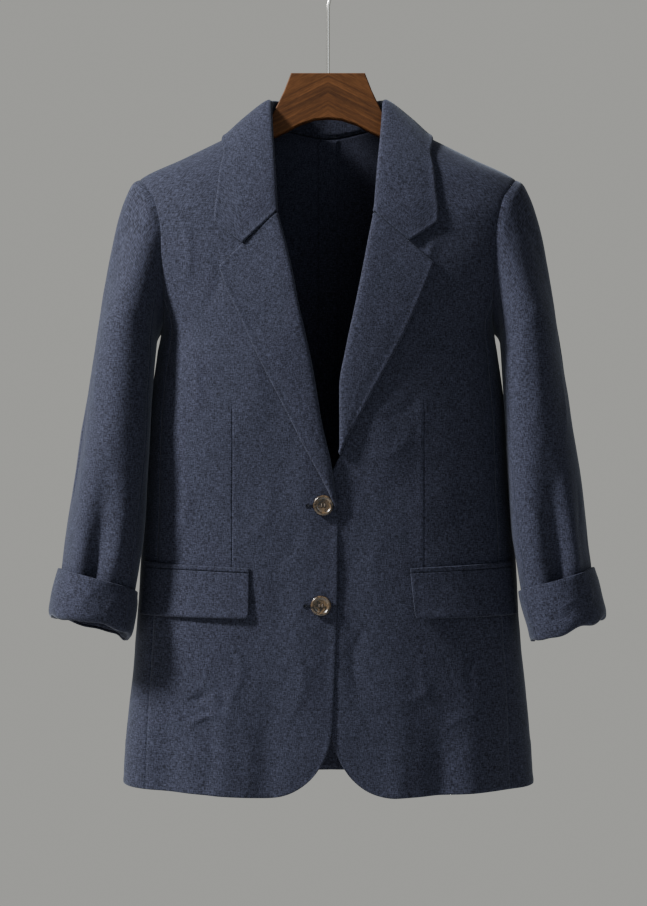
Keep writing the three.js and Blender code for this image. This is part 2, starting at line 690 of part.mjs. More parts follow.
function collarSolid() {
  const foldPoint = (side, at) => toSide(side, new THREE.Vector3(
    collarCurves.foldX(at), collarCurves.foldY(at), collarCurves.foldZ(at)));
  const gorgeAt = COLLAR.at(-1).at;
  const grid = evenly(STEPS.collar).map((t) => {
    const along = lerp(-gorgeAt, gorgeAt, t);
    const at = Math.abs(along);
    const side = SIDES[along < 0 ? 0 : 1];
    const shift = COLLAR_SHIFT * (at / gorgeAt) ** 2;
    const seamAt = neckSeam(side, at);
    const seam = skin(side, seamAt.angle, seamAt.z);
    const fold = foldPoint(side, at);
    const lift = lerp(SHOULDER_LEAF_LIFT, LEAF_LIFT, smoothstep(at, SHOULDER_AT, gorgeAt));
    const edge = skin(side, collarCurves.edgeAngle(at), collarCurves.edgeZ(at), lift);
    fold.x += shift;
    edge.x += shift;
    const over = toSide(side, formNormal(seamAt.angle, seamAt.z));
    const tangent = foldPoint(side, at + 0.1).sub(foldPoint(side, at - 0.1));
    const towards = tangent.cross(over).normalize();
    if (towards.dot(fold.clone().sub(edge)) < 0) towards.negate();
    const section = turnedSection({ ...COLLAR_BUILD, seam, fold, edge, over, towards });
    const notched = smoothstep(at, NOTCH.from, gorgeAt);
    return section.map((point, i) => notchedPoint(point, i, notched));
  });
  return wallRound(grid, TURNED_WALL);
}

// Towards its ends the leaf dips to a notch, halfway between the fold and the tip, and it
// keeps its distance from the front as it does
function notchedPoint(point, i, share) {
  const leafPart = clamp((i - LEAF_START) / (TURNED_STATIONS.length - 1 - LEAF_START), 0, 1);
  const peak = leafPart < 0.5 ? leafPart / 0.5 : (1 - leafPart) / 0.5;
  const drop = NOTCH.drop * peak * share;
  if (drop <= 0) return point;
  const x = Math.abs(point.x);
  const before = onForm(frontAngle(x, point.z), point.z);
  const after = onForm(frontAngle(x, point.z - drop), point.z - drop);
  return point.clone().add(after.sub(before).setX(0));
}

// Sleeves and their turn-ups

const sleeveOuter = curve(SLEEVE, 'z', 'outer');
const sleeveInner = curve(SLEEVE, 'z', 'inner');
const sleeveDepth = curve(SLEEVE, 'z', 'depth');
const sleeveCentre = curve(SLEEVE, 'z', 'centre');
const sleeveToe = curve(SLEEVE, 'z', 'toe');
const sleeveTilt = curve(SLEEVE_TILT, 'z', 'tilt');

// A point of the hanging sleeve at a turn round it: 0 outside, 90 in front, 180 inside
function sleevePoint(side, turn, level) {
  const angle = rad(turn);
  const z = level + sleeveTilt(level) * Math.cos(angle);
  const toe = rad(sleeveToe(z));
  const depth = sleeveDepth(z);
  const reachX = (sleeveOuter(z) - sleeveInner(z)) / 2;
  const half = Math.sqrt(reachX ** 2 - (depth * Math.sin(toe)) ** 2) / Math.cos(toe);
  const out = reach(angle, half, depth, SLEEVE_POWER)
    + foldAt(SLEEVE_FOLDS, side, turn, z)
    * (1 - smoothstep(-z, SLEEVE_FOLD_END.from, SLEEVE_FOLD_END.to));
  const outward = out * Math.cos(angle);
  const forward = out * Math.sin(angle);
  return toSide(side, new THREE.Vector3(
    (sleeveOuter(z) + sleeveInner(z)) / 2 + outward * Math.cos(toe) - forward * Math.sin(toe),
    sleeveCentre(z) - outward * Math.sin(toe) - forward * Math.cos(toe), z));
}

const turns = Array.from({ length: ARMHOLE.steps }, (_, i) => (i * 360) / ARMHOLE.steps);

// The sleeve's head leaves the armhole seam outwards and bends down into the hanging sleeve
function sleeveHead(side, turn, t) {
  const { angle, z } = armhole(turn);
  const start = skin(side, angle, z);
  start.x += ARMHOLE_GAP * side.sign;
  const end = sleevePoint(side, turn, SLEEVE_HEAD_Z);
  const below = sleevePoint(side, turn, SLEEVE_HEAD_Z - 10);
  const away = new THREE.Vector3(...HEAD_START.foot)
    .lerp(new THREE.Vector3(...HEAD_START.top), (1 + Math.cos(rad(turn))) / 2);
  away.y -= HEAD_START.forward * Math.sin(rad(turn));
  toSide(side, away);
  const arrive = below.sub(end).normalize().multiplyScalar(start.distanceTo(end));
  const bend = t * t * (3 - 2 * t);
  return start.lerp(end, bend)
    .addScaledVector(away, t * (1 - t) ** 2)
    .addScaledVector(arrive, t * t * (t - 1));
}

// The whole sleeve's outer and inner faces, as rings of points
function sleeveFaces(side) {
  const endLevel = CUFF_BOTTOM_Z + SLEEVE_END_UP;
  const head = evenly(STEPS.sleeveHead).slice(0, -1).map((t) =>
    turns.map((turn) => sleeveHead(side, turn, t)));
  const hanging = evenly(STEPS.sleeve, 0.95).map((t) =>
    turns.map((turn) => sleevePoint(side, turn, lerp(SLEEVE_HEAD_Z, endLevel, t))));
  const outer = [...head, ...hanging];
  const normals = gridNormals(outer, true);
  const outward = outer.at(-1)[0].x * normals.at(-1)[0].x > 0 ? 1 : -1;
  return [outer, moved(outer, normals, -SLEEVE_WALL * outward)];
}

// One of the sleeve's two pieces: the rings between its seams, trimmed by half a seam gap
function sleeveSolid(faces, { from, to }) {
  const step = 360 / ARMHOLE.steps;
  const columns = Array.from({ length: (to - from) / step + 1 }, (_, i) =>
    (from / step + i + ARMHOLE.steps) % ARMHOLE.steps);
  const trimmed = (end, next) =>
    end.clone().lerp(next, SEAM_HALF_GAP / end.distanceTo(next));
  const [outer, inner] = faces.map((face) => face.map((ring) => {
    const row = columns.map((c) => ring[c]);
    return [trimmed(row[0], row[1]), ...row.slice(1, -1), trimmed(row.at(-1), row.at(-2))];
  }));
  return solidBetween(outer, inner);
}

function cuffSolid(side) {
  const grid = CUFF.map(({ up, off, puff }) => turns.map((turn) => {
    const level = CUFF_BOTTOM_Z + up;
    const point = sleevePoint(side, turn, level);
    const round = sleevePoint(side, turn + 2, level).sub(sleevePoint(side, turn - 2, level));
    const out = new THREE.Vector3(round.y, -round.x, 0).normalize().multiplyScalar(-side.sign);
    const share = lerp(CUFF_INNER_PUFF, 1, (1 + Math.cos(rad(turn))) / 2);
    return point.addScaledVector(out, off + puff * share);
  }));
  return wallRound(grid, TURNED_WALL, true);
}

// Hip pockets

function pocketPatch(side, inner, outer) {
  const onFront = (x, z) => ({ angle: frontAngle(x, z), z });
  const topIn = onFront(inner.x, inner.top);
  const bottomIn = onFront(inner.bottomX ?? inner.x, inner.bottom);
  const topOut = { angle: outer.angle, z: outer.top };
  const bottomOut = { angle: outer.angle, z: outer.bottom };
  return {
    left: straight(topIn, bottomIn),
    right: straight(topOut, bottomOut),
    top: straight(topIn, topOut),
    bottom: straight(bottomIn, bottomOut),
  };
}

function pocketSolid(side, { inner, outer, wall }, rows) {
  const edges = pocketPatch(side, inner, outer);
  const height = { low: POCKET_LIFT, high: POCKET_LIFT + wall };
  return panelSolid(side, edges, evenly(STEPS.pocketAcross), evenly(rows), height);
}

// Hard pieces

function toManifold(geometry) {
  const bare = geometry.clone();
  bare.deleteAttribute('normal');
  bare.deleteAttribute('uv');
  const merged = mergeVertices(bare, 1e-4);
  const mesh = new wasm.Mesh({
    numProp: 3,
    vertProperties: new Float32Array(merged.attributes.position.array),
    triVerts: new Uint32Array(merged.index.array),
  });
  return new wasm.Manifold(mesh);
}

function fromManifold(solid) {
  const { vertProperties, triVerts } = solid.getMesh();
  const geometry = new THREE.BufferGeometry();
  geometry.setAttribute('position', new THREE.Float32BufferAttribute(vertProperties, 3));
  geometry.setIndex([...triVerts]);
  geometry.computeVertexNormals();
  return geometry;
}

function cylinder(radius, height, sides, x, y, z) {
  return new THREE.CylinderGeometry(radius, radius, height, sides)
    .rotateX(Math.PI / 2).translate(x, y, z);
}

// A button on the +Z axis: a raised rim round a well, with four holes. It is turned to lie
// on the right front.
function buttonSolid({ x, z }) {
  const { radius, thick, well, wellDeep, hole, holeOut } = BUTTON;
  const profile = [
    [0, 0], [radius - 2.5, 0], [radius - 0.4, 1.2], [radius, 2.2], [radius - 0.7, thick - 0.4],
    [radius - 1.8, thick], [well + 0.6, thick - 0.5], [well - 0.6, thick - wellDeep],
    [0, thick - wellDeep],
  ].map(([r, y]) => new THREE.Vector2(r, y));
  const blank = toManifold(new THREE.LatheGeometry(profile, 24).rotateX(Math.PI / 2));
  const drilled = [45, 135, 225, 315].reduce((solid, turn) => {
    const out = [holeOut * Math.cos(rad(turn)), holeOut * Math.sin(rad(turn))];
    return solid.subtract(toManifold(cylinder(hole, thick * 3, 8, ...out, 0)));
  }, blank);
  const right = SIDES[0];
  const angle = frontAngle(x * right.sign, z);
  const out = toSide(right, formNormal(angle, z));
  const face = new THREE.Quaternion().setFromUnitVectors(new THREE.Vector3(0, 0, 1), out);
  const seat = skin(right, angle, z, BUTTON_LIFT);
  return fromManifold(drilled).applyQuaternion(face).translate(seat.x, seat.y, seat.z);
}

// The hanger's outline: block, shoulder line under the cloth, end, and the arch below
function hangerSolid() {
  const armStart = BLOCK.at(-1);
  const ridge = (x) => lerp(
    NECK_POINT_Z, SHOULDER_Z, (x - NECK_HALF) / (bodyHalf(SHOULDER_Z) - NECK_HALF));
  const armTop = [110, 150, HANGER_END.x].map((x) => ({ x, z: ridge(x) - HANGER_BELOW_RIDGE }));
  const armEnd = { x: HANGER_END.x + 1, z: HANGER_END.bottom + 6 };
  const armFoot = { x: HANGER_END.x - 3, z: HANGER_END.bottom };
  const half = [...BLOCK, ...armTop, armEnd, armFoot, ...[...ARCH].reverse()];
  const other = half.slice(0, -1).reverse().map(({ x, z }) => ({ x: -x, z }));
  const outline = new THREE.Shape([...half, ...other].map(({ x, z }) => new THREE.Vector2(x, z)));
  const plate = new THREE.ExtrudeGeometry(outline, {
    depth: HANGER_THICK - 2 * HANGER_BEVEL,
    bevelThickness: HANGER_BEVEL,
    bevelSize: HANGER_BEVEL,
    bevelOffset: -HANGER_BEVEL,
    bevelSegments: 1,
  });
  plate.rotateX(Math.PI / 2).translate(0, HANGER_FRONT_Y + HANGER_THICK - HANGER_BEVEL, 0);
  const middleY = HANGER_FRONT_Y + HANGER_THICK / 2;
  const bore = cylinder(BORE_RADIUS, BORE_DEEP * 2, 16, 0, middleY, BLOCK[0].z);
  return fromManifold(toManifold(plate).subtract(toManifold(bore)));
}

// The hook's wire: up from the block, a bend to one side, and round the crown
function hookSolid() {
  const { wire, radius, crownZ, foot, straightTop, startTurn, endTurn } = HOOK;
  const y = HANGER_FRONT_Y + HANGER_THICK / 2;
  const centreZ = crownZ - radius;
  const onArc = (turn) => new THREE.Vector3(
    radius * Math.cos(rad(turn)), y, centreZ + radius * Math.sin(rad(turn)));
  const arc = evenly(12).map((t) => onArc(lerp(startTurn, endTurn, t)));
  const path = new THREE.CatmullRomCurve3([
    new THREE.Vector3(0, y, foot),
    new THREE.Vector3(0, y, (foot + straightTop) / 2),
    new THREE.Vector3(0, y, straightTop),
    ...HOOK_BEND.map(({ x, z }) => new THREE.Vector3(x, y, z)),
    ...arc,
  ], false, 'centripetal');
  const section = new THREE.Shape(Array.from({ length: 8 }, (_, i) => {
    const turn = (i * Math.PI) / 4;
    return new THREE.Vector2(wire * Math.cos(turn), wire * Math.sin(turn));
  }));
  return new THREE.ExtrudeGeometry(section, { extrudePath: path, steps: 38 });
}

// The group of named pieces

const CLOTH = { color: '#485066', roughness: 0.92, metalness: 0 };
const WALNUT = { color: '#6b4a31', roughness: 0.55, metalness: 0 };
const STEEL = { color: '#c9ccd0', roughness: 0.25, metalness: 1 };
const HORN = { color: '#7d7061', roughness: 0.4, metalness: 0 };

const blazer = new THREE.Group();

function add(name, geometry, look) {
  const mesh = new THREE.Mesh(geometry, new THREE.MeshStandardMaterial(look));
  mesh.name = name;
  blazer.add(mesh);
}

for (const side of SIDES) {
  add(`back_${side.name}`, backSolid(side), CLOTH);
  add(`side_${side.name}`, sideSolid(side), CLOTH);
  add(`front_${side.name}`, frontSolid(side), CLOTH);
  add(`lapel_${side.name}`, lapelSolid(side), CLOTH);
  const faces = sleeveFaces(side);
  for (const piece of SLEEVE_PIECES) {
    add(`${piece.name}_${side.name}`, sleeveSolid(faces, piece), CLOTH);
  }
  add(`cuff_${side.name}`, cuffSolid(side), CLOTH);
  add(`pocket_welt_${side.name}`, pocketSolid(side, WELT, 1), CLOTH);
  add(`pocket_flap_${side.name}`, pocketSolid(side, FLAP, 3), CLOTH);
}
add('collar', collarSolid(), CLOTH);
for (const button of BUTTONS) add(button.name, buttonSolid(button), HORN);
add('hanger_body', hangerSolid(), WALNUT);
add('hook', hookSolid(), STEEL);

export default blazer;
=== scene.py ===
"""The looks of a linen blazer on a walnut hanger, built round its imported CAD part."""
import math

import bpy
import numpy as np
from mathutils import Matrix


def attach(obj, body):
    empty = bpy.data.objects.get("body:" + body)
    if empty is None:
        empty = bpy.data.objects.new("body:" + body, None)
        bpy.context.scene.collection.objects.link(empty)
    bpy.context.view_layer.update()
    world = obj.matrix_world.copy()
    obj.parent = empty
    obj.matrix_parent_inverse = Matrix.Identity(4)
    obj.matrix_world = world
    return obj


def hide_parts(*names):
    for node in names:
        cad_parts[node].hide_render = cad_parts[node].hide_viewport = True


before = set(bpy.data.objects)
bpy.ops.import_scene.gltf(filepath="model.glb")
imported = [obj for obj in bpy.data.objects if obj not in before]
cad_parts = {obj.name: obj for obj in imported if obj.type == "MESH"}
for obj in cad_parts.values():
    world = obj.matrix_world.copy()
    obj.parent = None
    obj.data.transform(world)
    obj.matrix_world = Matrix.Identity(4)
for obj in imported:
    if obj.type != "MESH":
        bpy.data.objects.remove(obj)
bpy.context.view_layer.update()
scene = bpy.context.scene


# Camera: level with the middle of the blazer and straight in front of it, with a long lens, so
# that the sleeves and the body keep nearly the same scale.
camera_data = bpy.data.cameras.new("camera")
camera_data.sensor_width = 36
camera_data.lens = 85.45
camera = bpy.data.objects.new("camera", camera_data)
camera.location = (-0.0048, -2.3, -0.5453)
camera.rotation_euler = (math.radians(90), 0, 0)
scene.collection.objects.link(camera)
scene.camera = camera


# Stage: a plain pale floor far below the hanging blazer, and pale surroundings. The key light
# stands high on the viewer's left, and a wide weak light in front opens the shadows.
FLOOR_Z = -1.7
FLOOR_RADIUS = 3.0
FLOOR_SIDES = 96


def principled(name, **values):
    """A material with one Principled shader; values go on its own sockets."""
    material = bpy.data.materials.new(name)
    material.use_nodes = True
    shader = material.node_tree.nodes["Principled BSDF"]
    for key, value in values.items():
        shader.inputs[key.replace("_", " ")].default_value = value
    return material, shader


def area_light(name, place, target, size, power, colour):
    """A rectangular light at a place, turned to face a target."""
    light_data = bpy.data.lights.new(name, "AREA")
    light_data.shape = "RECTANGLE"
    light_data.size, light_data.size_y = size
    light_data.energy = power
    light_data.color = colour
    light = bpy.data.objects.new(name, light_data)
    away = np.array(target, float) - place
    light.location = place
    light.rotation_euler = (
        math.acos(-away[2] / np.linalg.norm(away)), 0, math.atan2(away[1], away[0]) - math.pi / 2)
    scene.collection.objects.link(light)


floor_mesh = bpy.data.meshes.new("floor")
rim = [(FLOOR_RADIUS * math.cos(a), FLOOR_RADIUS * math.sin(a), FLOOR_Z)
       for a in np.linspace(0, 2 * math.pi, FLOOR_SIDES + 1)[:-1]]
floor_mesh.from_pydata(rim, [], [tuple(range(len(rim)))])
floor = bpy.data.objects.new("floor", floor_mesh)
scene.collection.objects.link(floor)
floor_paint, _ = principled("floor_paint", Base_Color=(0.62, 0.62, 0.6, 1), Roughness=0.85)
floor_mesh.materials.append(floor_paint)

scene.world = bpy.data.worlds.new("surroundings")
scene.world.use_nodes = True
sky = scene.world.node_tree.nodes["Background"]
sky.inputs["Color"].default_value = (0.42, 0.42, 0.395, 1)
sky.inputs["Strength"].default_value = 0.88
area_light("key", (-2.5, -1.0, 1.5), (0, 0, -0.5), (0.4, 0.6), 400, (1, 0.98, 0.95))
area_light("fill", (1.0, -3, 0.2), (0, 0, -0.5), (1.6, 1.6), 18, (0.9, 0.95, 1))


# Back panels: two, of plain-woven navy linen, sewn down the middle, from the neck to the hem.
# The body is one smooth form. A point on it is given by the angle round the body, from 0 at the
# centre front to 180 at the centre back, and its height z, in millimetres.
NECK_HALF = 70
NECK_POINT_Z = -190
SHOULDER_Z = -254
BACK_NECK_DROP = 13
FORM_POWER = 2.4
BODY_WALL = 1.6
LAP = {"right": 1.3, "left": -1.3}
SIGN = {"right": -1, "left": 1}
BODY = {
    "z": [-190, -203, -232, -254, -270, -290, -320, -350, -380, -414, -440, -487, -520, -600,
          -660, -693, -800, -905],
    "half": [70, 96, 155, 200, 214, 218, 212, 202, 190, 177, 181, 187.5, 190.5, 196,
             199.5, 201.5, 211, 218.5],
    "front": [26, 34, 50, 60, 66.5, 74.5, 83, 90, 94.5, 98, 98, 97, 96, 92, 92, 92, 91, 90],
    "back": [41, 46, 55, 62, 67, 73, 80, 84, 86, 86, 84, 81, 79, 74, 74.5, 75.2, 78, 80],
}
HEM = {"angle": [-10, 35, 75, 112, 180], "z": [-901, -901, -897, -896, -895.5]}
# Hanging folds: the angle of each, where it starts, its half width in degrees and its depth
FOLDS = {
    "right": [(69, -770, 4.5, -4.5), (54, -700, 7, 4.5), (36, -740, 6, -2.5),
              (132, -640, 6, 4), (151, -700, 6, -5)],
    "left": [(40, -720, 7, 3), (55, -790, 4.5, -5), (64, -740, 5, 3.5), (75, -760, 4, -3),
             (128, -690, 6, -4.5), (146, -620, 7, 4.5)],
}
FOLD_END_Z = -900
# Small creases pressed into the cloth, seen from the front or the back: the two ends' x and z,
# the half width and the height
CREASES = {
    ("right", "front"): [
        (146, -829, 112, -816, 2.1, 1.3), (150, -806, 116, -800, 2.4, -0.8),
        (143, -812, 111, -788, 3.6, -0.7), (198, -838, 168, -843, 2.4, 0.6),
        (176, -792, 158, -846, 4.5, 0.6), (121, -770, 112, -824, 5, -0.8),
        (141, -770, 137, -930, 12, -1.5), (104, -790, 100, -940, 14, 0.9),
        (96, -742, 104, -806, 6, 0.7), (148, -420, 139, -512, 5, 0.7), (171, -430, 166, -520, 5, -0.8),
        (120, -330, 128, -398, 7, -0.9), (158, -296, 149, -372, 6, 0.8), (62, -560, 84, -640, 8, 0.5),
        (36, -610, 60, -668, 7, -0.4), (150, -560, 158, -640, 5, 0.7), (34, -742, 42, -822, 8, 0.7),
    ],
    ("left", "front"): [
        (52, -512, 92, -470, 8, -0.45), (40, -548, 88, -520, 7, 0.4), (150, -560, 141, -636, 6, -0.8),
        (158, -430, 150, -520, 5, 0.8), (172, -470, 168, -560, 4, -0.8), (118, -310, 109, -390, 7, 0.8),
        (70, -800, 110, -780, 5, 0.4), (96, -752, 128, -842, 6, 0.4), (150, -816, 118, -836, 3, 0.5),
        (40, -720, 34, -800, 7, -0.8), (66, -620, 52, -700, 8, 0.45), (160, -740, 151, -800, 5, -0.7),
    ],
    ("right", "back"): [
        (30, -300, 60, -360, 8, 0.9), (90, -330, 70, -420, 8, -0.9), (140, -380, 150, -480, 6, 0.9),
        (46, -520, 62, -610, 8, 0.8), (120, -560, 104, -640, 6, -0.8), (24, -700, 48, -760, 6, 0.8),
        (86, -800, 130, -786, 4, 0.8), (150, -840, 118, -820, 4, -0.7),
    ],
    ("left", "back"): [
        (26, -320, 52, -400, 8, -0.9), (104, -300, 92, -380, 7, 0.9), (150, -400, 146, -500, 6, -0.9),
        (36, -500, 70, -560, 7, 0.8), (128, -600, 110, -690, 7, 0.9), (30, -760, 56, -800, 5, -0.8),
        (70, -842, 112, -826, 4, 0.8), (140, -780, 122, -830, 5, 0.7),
    ],
}


def curve(table, key, value):
    """A smooth curve through one column of a table, which keeps the rows' rises and falls."""
    order = np.argsort(table[key])
    xs = np.array(table[key], float)[order]
    ys = np.array(table[value], float)[order]
    rises = np.diff(ys) / np.diff(xs)
    slopes = np.r_[rises[0], np.zeros(len(xs) - 2), rises[-1]]
    product, total = rises[:-1] * rises[1:], rises[:-1] + rises[1:]
    keep = product > 0
    slopes[1:-1][keep] = 2 * product[keep] / total[keep]

    def value_at(x):
        x = np.clip(x, xs[0], xs[-1])
        i = np.clip(np.searchsorted(xs, x) - 1, 0, len(xs) - 2)
        step = xs[i + 1] - xs[i]
        t = (x - xs[i]) / step
        bend = t * t * (3 - 2 * t)
        return (ys[i] * (1 - bend) + ys[i + 1] * bend
                + slopes[i] * t * (1 - t) ** 2 * step + slopes[i + 1] * t * t * (t - 1) * step)
    return value_at


def smoothstep(x, low, high):
    """0 up to low, 1 from high on, and 3 t^2 - 2 t^3 between them."""
    t = np.clip((x - low) / (high - low), 0, 1)
    return t * t * (3 - 2 * t)


def lerp(a, b, t):
    """The value a share t of the way from a to b."""
    return a + (b - a) * t


body_half = curve(BODY, "z", "half")
body_front = curve(BODY, "z", "front")
body_back = curve(BODY, "z", "back")
hem_z = curve(HEM, "angle", "z")


def on_form(angle, z):
    """A point of the form. Its section at z is a superellipse, (x / half)^p + (y / depth)^p = 1,
    which has one depth in front and another behind.
    """
    turn = np.radians(angle)
    depth = np.where(np.cos(turn) > 0, body_front(z), body_back(z))
    out = (np.abs(np.cos(turn) / depth) ** FORM_POWER
           + np.abs(np.sin(turn) / body_half(z)) ** FORM_POWER) ** (-1 / FORM_POWER)
    return np.stack([out * np.sin(turn), -out * np.cos(turn), z + 0 * out], -1)


def unit(vectors):
    """The same directions, each of length 1."""
    return vectors / np.maximum(np.linalg.norm(vectors, axis=-1, keepdims=True), 1e-9)


def form_normal(angle, z):
    """The way out of the form: the cross product of a small step down and one round it."""
    round_body = on_form(angle + 0.5, z) - on_form(angle - 0.5, z)
    down = on_form(angle, z - 1) - on_form(angle, z + 1)
    return unit(np.cross(down, round_body))


def front_angle(x, z):
    """The angle at which the front of the form has this x."""
    share = np.abs(x / body_half(z)) ** FORM_POWER
    y = body_front(z) * np.maximum(1 - share, 0) ** (1 / FORM_POWER)
    return np.degrees(np.arctan2(x, y))


def strokes(x, z, table):
    """Soft ridges and troughs along short lines, strongest in their middle."""
    height = 0 * x
    for x0, z0, x1, z1, width, rise in table:
        along = np.array([x1 - x0, z1 - z0], float)
        length = np.linalg.norm(along)
        t = ((x - x0) * along[0] + (z - z0) * along[1]) / length ** 2
        off = ((x - x0) * along[1] - (z - z0) * along[0]) / length
        bow = width * 1.6 * np.sin(math.pi * np.clip(t, 0, 1))
        taper = np.sin(math.pi * np.clip(t, 0, 1)) ** 0.8
        height = height + rise * taper * np.exp(-np.abs((off - bow) / width) ** 1.5)
    return height


# The wobble of the cloth: the size and the rise of each lattice, and the points along its side
WAVES = [(74, 1.1), (38, 0.6), (19, 0.22), (9, 0.08)]
LATTICE = 64


def waves(x, z, seed):
    """A slow uneven wobble of the cloth, from a lattice of random heights, smoothly joined."""
    total = 0.0
    for k, (size, rise) in enumerate(WAVES):
        heights = np.random.RandomState(seed * 10 + k).uniform(-1, 1, (LATTICE, LATTICE))
        tilt = 0.5 + seed + k
        across = (x * math.cos(tilt) + z * math.sin(tilt)) / size
        along = (z * math.cos(tilt) - x * math.sin(tilt)) / size
        i, j = np.floor(across).astype(int), np.floor(along).astype(int)
        s, t = [f * f * (3 - 2 * f) for f in (across - i, along - j)]
        corners = [heights[(i + a) % LATTICE, (j + b) % LATTICE] for a in (0, 1) for b in (0, 1)]
        total = total + rise * lerp(lerp(corners[0], corners[1], t), lerp(corners[2], corners[3], t), s)
    return total


CREASE_GAIN = 2.0


def skin(side, angle, z, out=0.0, relief=1.0):
    """A point of one side's cloth, out from its outer face, with its folds and creases."""
    point = on_form(angle, z)
    centre = np.where(angle < 90, 1 - smoothstep(np.abs(point[..., 0]), 20, 60), 0)
    lift = out + LAP[side] * centre
    for middle, start, spread, depth in FOLDS[side]:
        across = np.exp(-(((angle - middle) / spread) ** 2))
        lift = lift + depth * across * smoothstep(-z, -start, -FOLD_END_Z)
    for face, table in CREASES.items():
        if face[0] == side:
            seen = (angle < 90) if face[1] == "front" else (angle >= 90)
            lift = lift + CREASE_GAIN * relief * seen * strokes(point[..., 0], z, table)
    still = smoothstep(-z, 215, 300)
    lift = lift + relief * still * waves(np.radians(angle) * 200, z, 1 if side == "left" else 2)
    point = point + form_normal(angle, z) * lift[..., None]
    point[..., 0] *= SIGN[side]
    return point


def patch(left, right, top, bottom, u, v):
    """A grid between four edges, each a function that gives angle and z."""
    u, v = u[None, :, None], v[:, None, None]
    edges = [np.stack(edge(t.ravel()), -1) for edge, t in
             ((left, v), (right, v), (top, u), (bottom, u))]
    l, r, t, b = edges[0][:, None], edges[1][:, None], edges[2][None], edges[3][None]
    t0, t1, b0, b1 = t[:, :1], t[:, -1:], b[:, :1], b[:, -1:]
    grid = lerp(l, r, u) + (1 - v) * (t - lerp(t0, t1, u)) + v * (b - lerp(b0, b1, u))
    return grid[..., 0], grid[..., 1]


def straight(start, end):
    """A straight edge from start to end, both given as angle and z."""
    return lambda t: (lerp(start[0], end[0], t), lerp(start[1], end[1], t))


def edge_distances(points):
    """How far each point of a grid is from its left, right, top and bottom edge."""
    along = np.linalg.norm(np.diff(points, axis=1), axis=-1)
    down = np.linalg.norm(np.diff(points, axis=0), axis=-1)
    left = np.pad(np.cumsum(along, 1), ((0, 0), (1, 0)))
    top = np.pad(np.cumsum(down, 0), ((1, 0), (0, 0)))
    return left, left[:, -1:] - left, top, top[-1:] - top


def rounded(distance, radius):
    """From 0 on a cloth's free edge to 1 where its face is flat."""
    return np.sqrt(1 - (1 - np.clip(distance / radius, 0, 1)) ** 2)


def seam_dip(distance):
    """How much a face sinks beside a seam."""
    return 0.75 * np.exp(-(distance / 1.1) ** 2) + 0.22 * np.exp(-(distance / 4.5) ** 2)


def steps(count, fine=(0.0012, 0.003, 0.006, 0.011, 0.018), even_from=0.027):
    """Places from 0 to 1, close together next to both ends and even between them."""
    ends = np.array(fine)
    return np.r_[0, ends, np.linspace(even_from, 1 - even_from, count), 1 - ends[::-1], 1]


def cloth_mesh(name, outer, inner, material, wrap=False, place=None):
    """A wall between two grids of points, closed round its edges. The UV map holds each point's
    place on the flat cloth: place gives it, or else the distances along the grid.
    """
    rows, columns = outer.shape[:2]
    quads_across = columns if wrap else columns - 1
    left, top = place or edge_distances(outer)[::2]
    r, c = np.meshgrid(np.arange(rows - 1), np.arange(quads_across), indexing="ij")
    corners = [(r, c), (r, c + 1), (r + 1, c + 1), (r + 1, c)]
    index = np.stack([a * columns + b % columns for a, b in corners], -1).reshape(-1, 4)
    spots = np.stack([np.stack([left[a, b], top[a, b]], -1) for a, b in corners], 2).reshape(-1, 4, 2)
    size = rows * columns
    faces, uvs = [index, index[:, ::-1] + size], [spots, spots[:, ::-1]]
    across, downward = np.arange(quads_across), np.arange(rows - 1)
    rims = [(0 * across, across, 0 * across, across + 1),
            (0 * across + rows - 1, across + 1, 0 * across + rows - 1, across)]
    if not wrap:
        rims += [(downward + 1, 0 * downward, downward, 0 * downward),
                 (downward, 0 * downward + columns - 1, downward + 1, 0 * downward + columns - 1)]
    for r0, c0, r1, c1 in rims:
        a, b = r0 * columns + c0 % columns, r1 * columns + c1 % columns
        faces.append(np.stack([b, a, a + size, b + size], -1))
        one, two = np.stack([left[r0, c0], top[r0, c0]], -1), np.stack([left[r1, c1], top[r1, c1]], -1)
        uvs.append(np.stack([two, one, one, two], 1))
    faces, uvs = np.concatenate(faces), np.concatenate(uvs)
    points = np.concatenate([outer.reshape(-1, 3), inner.reshape(-1, 3)]) / 1000
    mesh = bpy.data.meshes.new(name)
    mesh.from_pydata(points.tolist(), [], faces.tolist())
    mesh.uv_layers.new(name="cloth").data.foreach_set("uv", (uvs / 1000).ravel())
    mesh.shade_smooth()
    mesh.materials.append(material)
    piece = bpy.data.objects.new(name, mesh)
    scene.collection.objects.link(piece)
    a, b, c = points[faces[:, 0]], points[faces[:, 1]], points[faces[:, 2]]
    if np.einsum("ij,ij->", np.cross(b - a, c - a), points[faces[:, 0]] - points.mean(0)) < 0:
        mesh.flip_normals()
    return piece


def dress(piece, nodes):
    """The calls that tie a piece to the frame."""
    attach(piece, "root")
    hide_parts(*nodes)


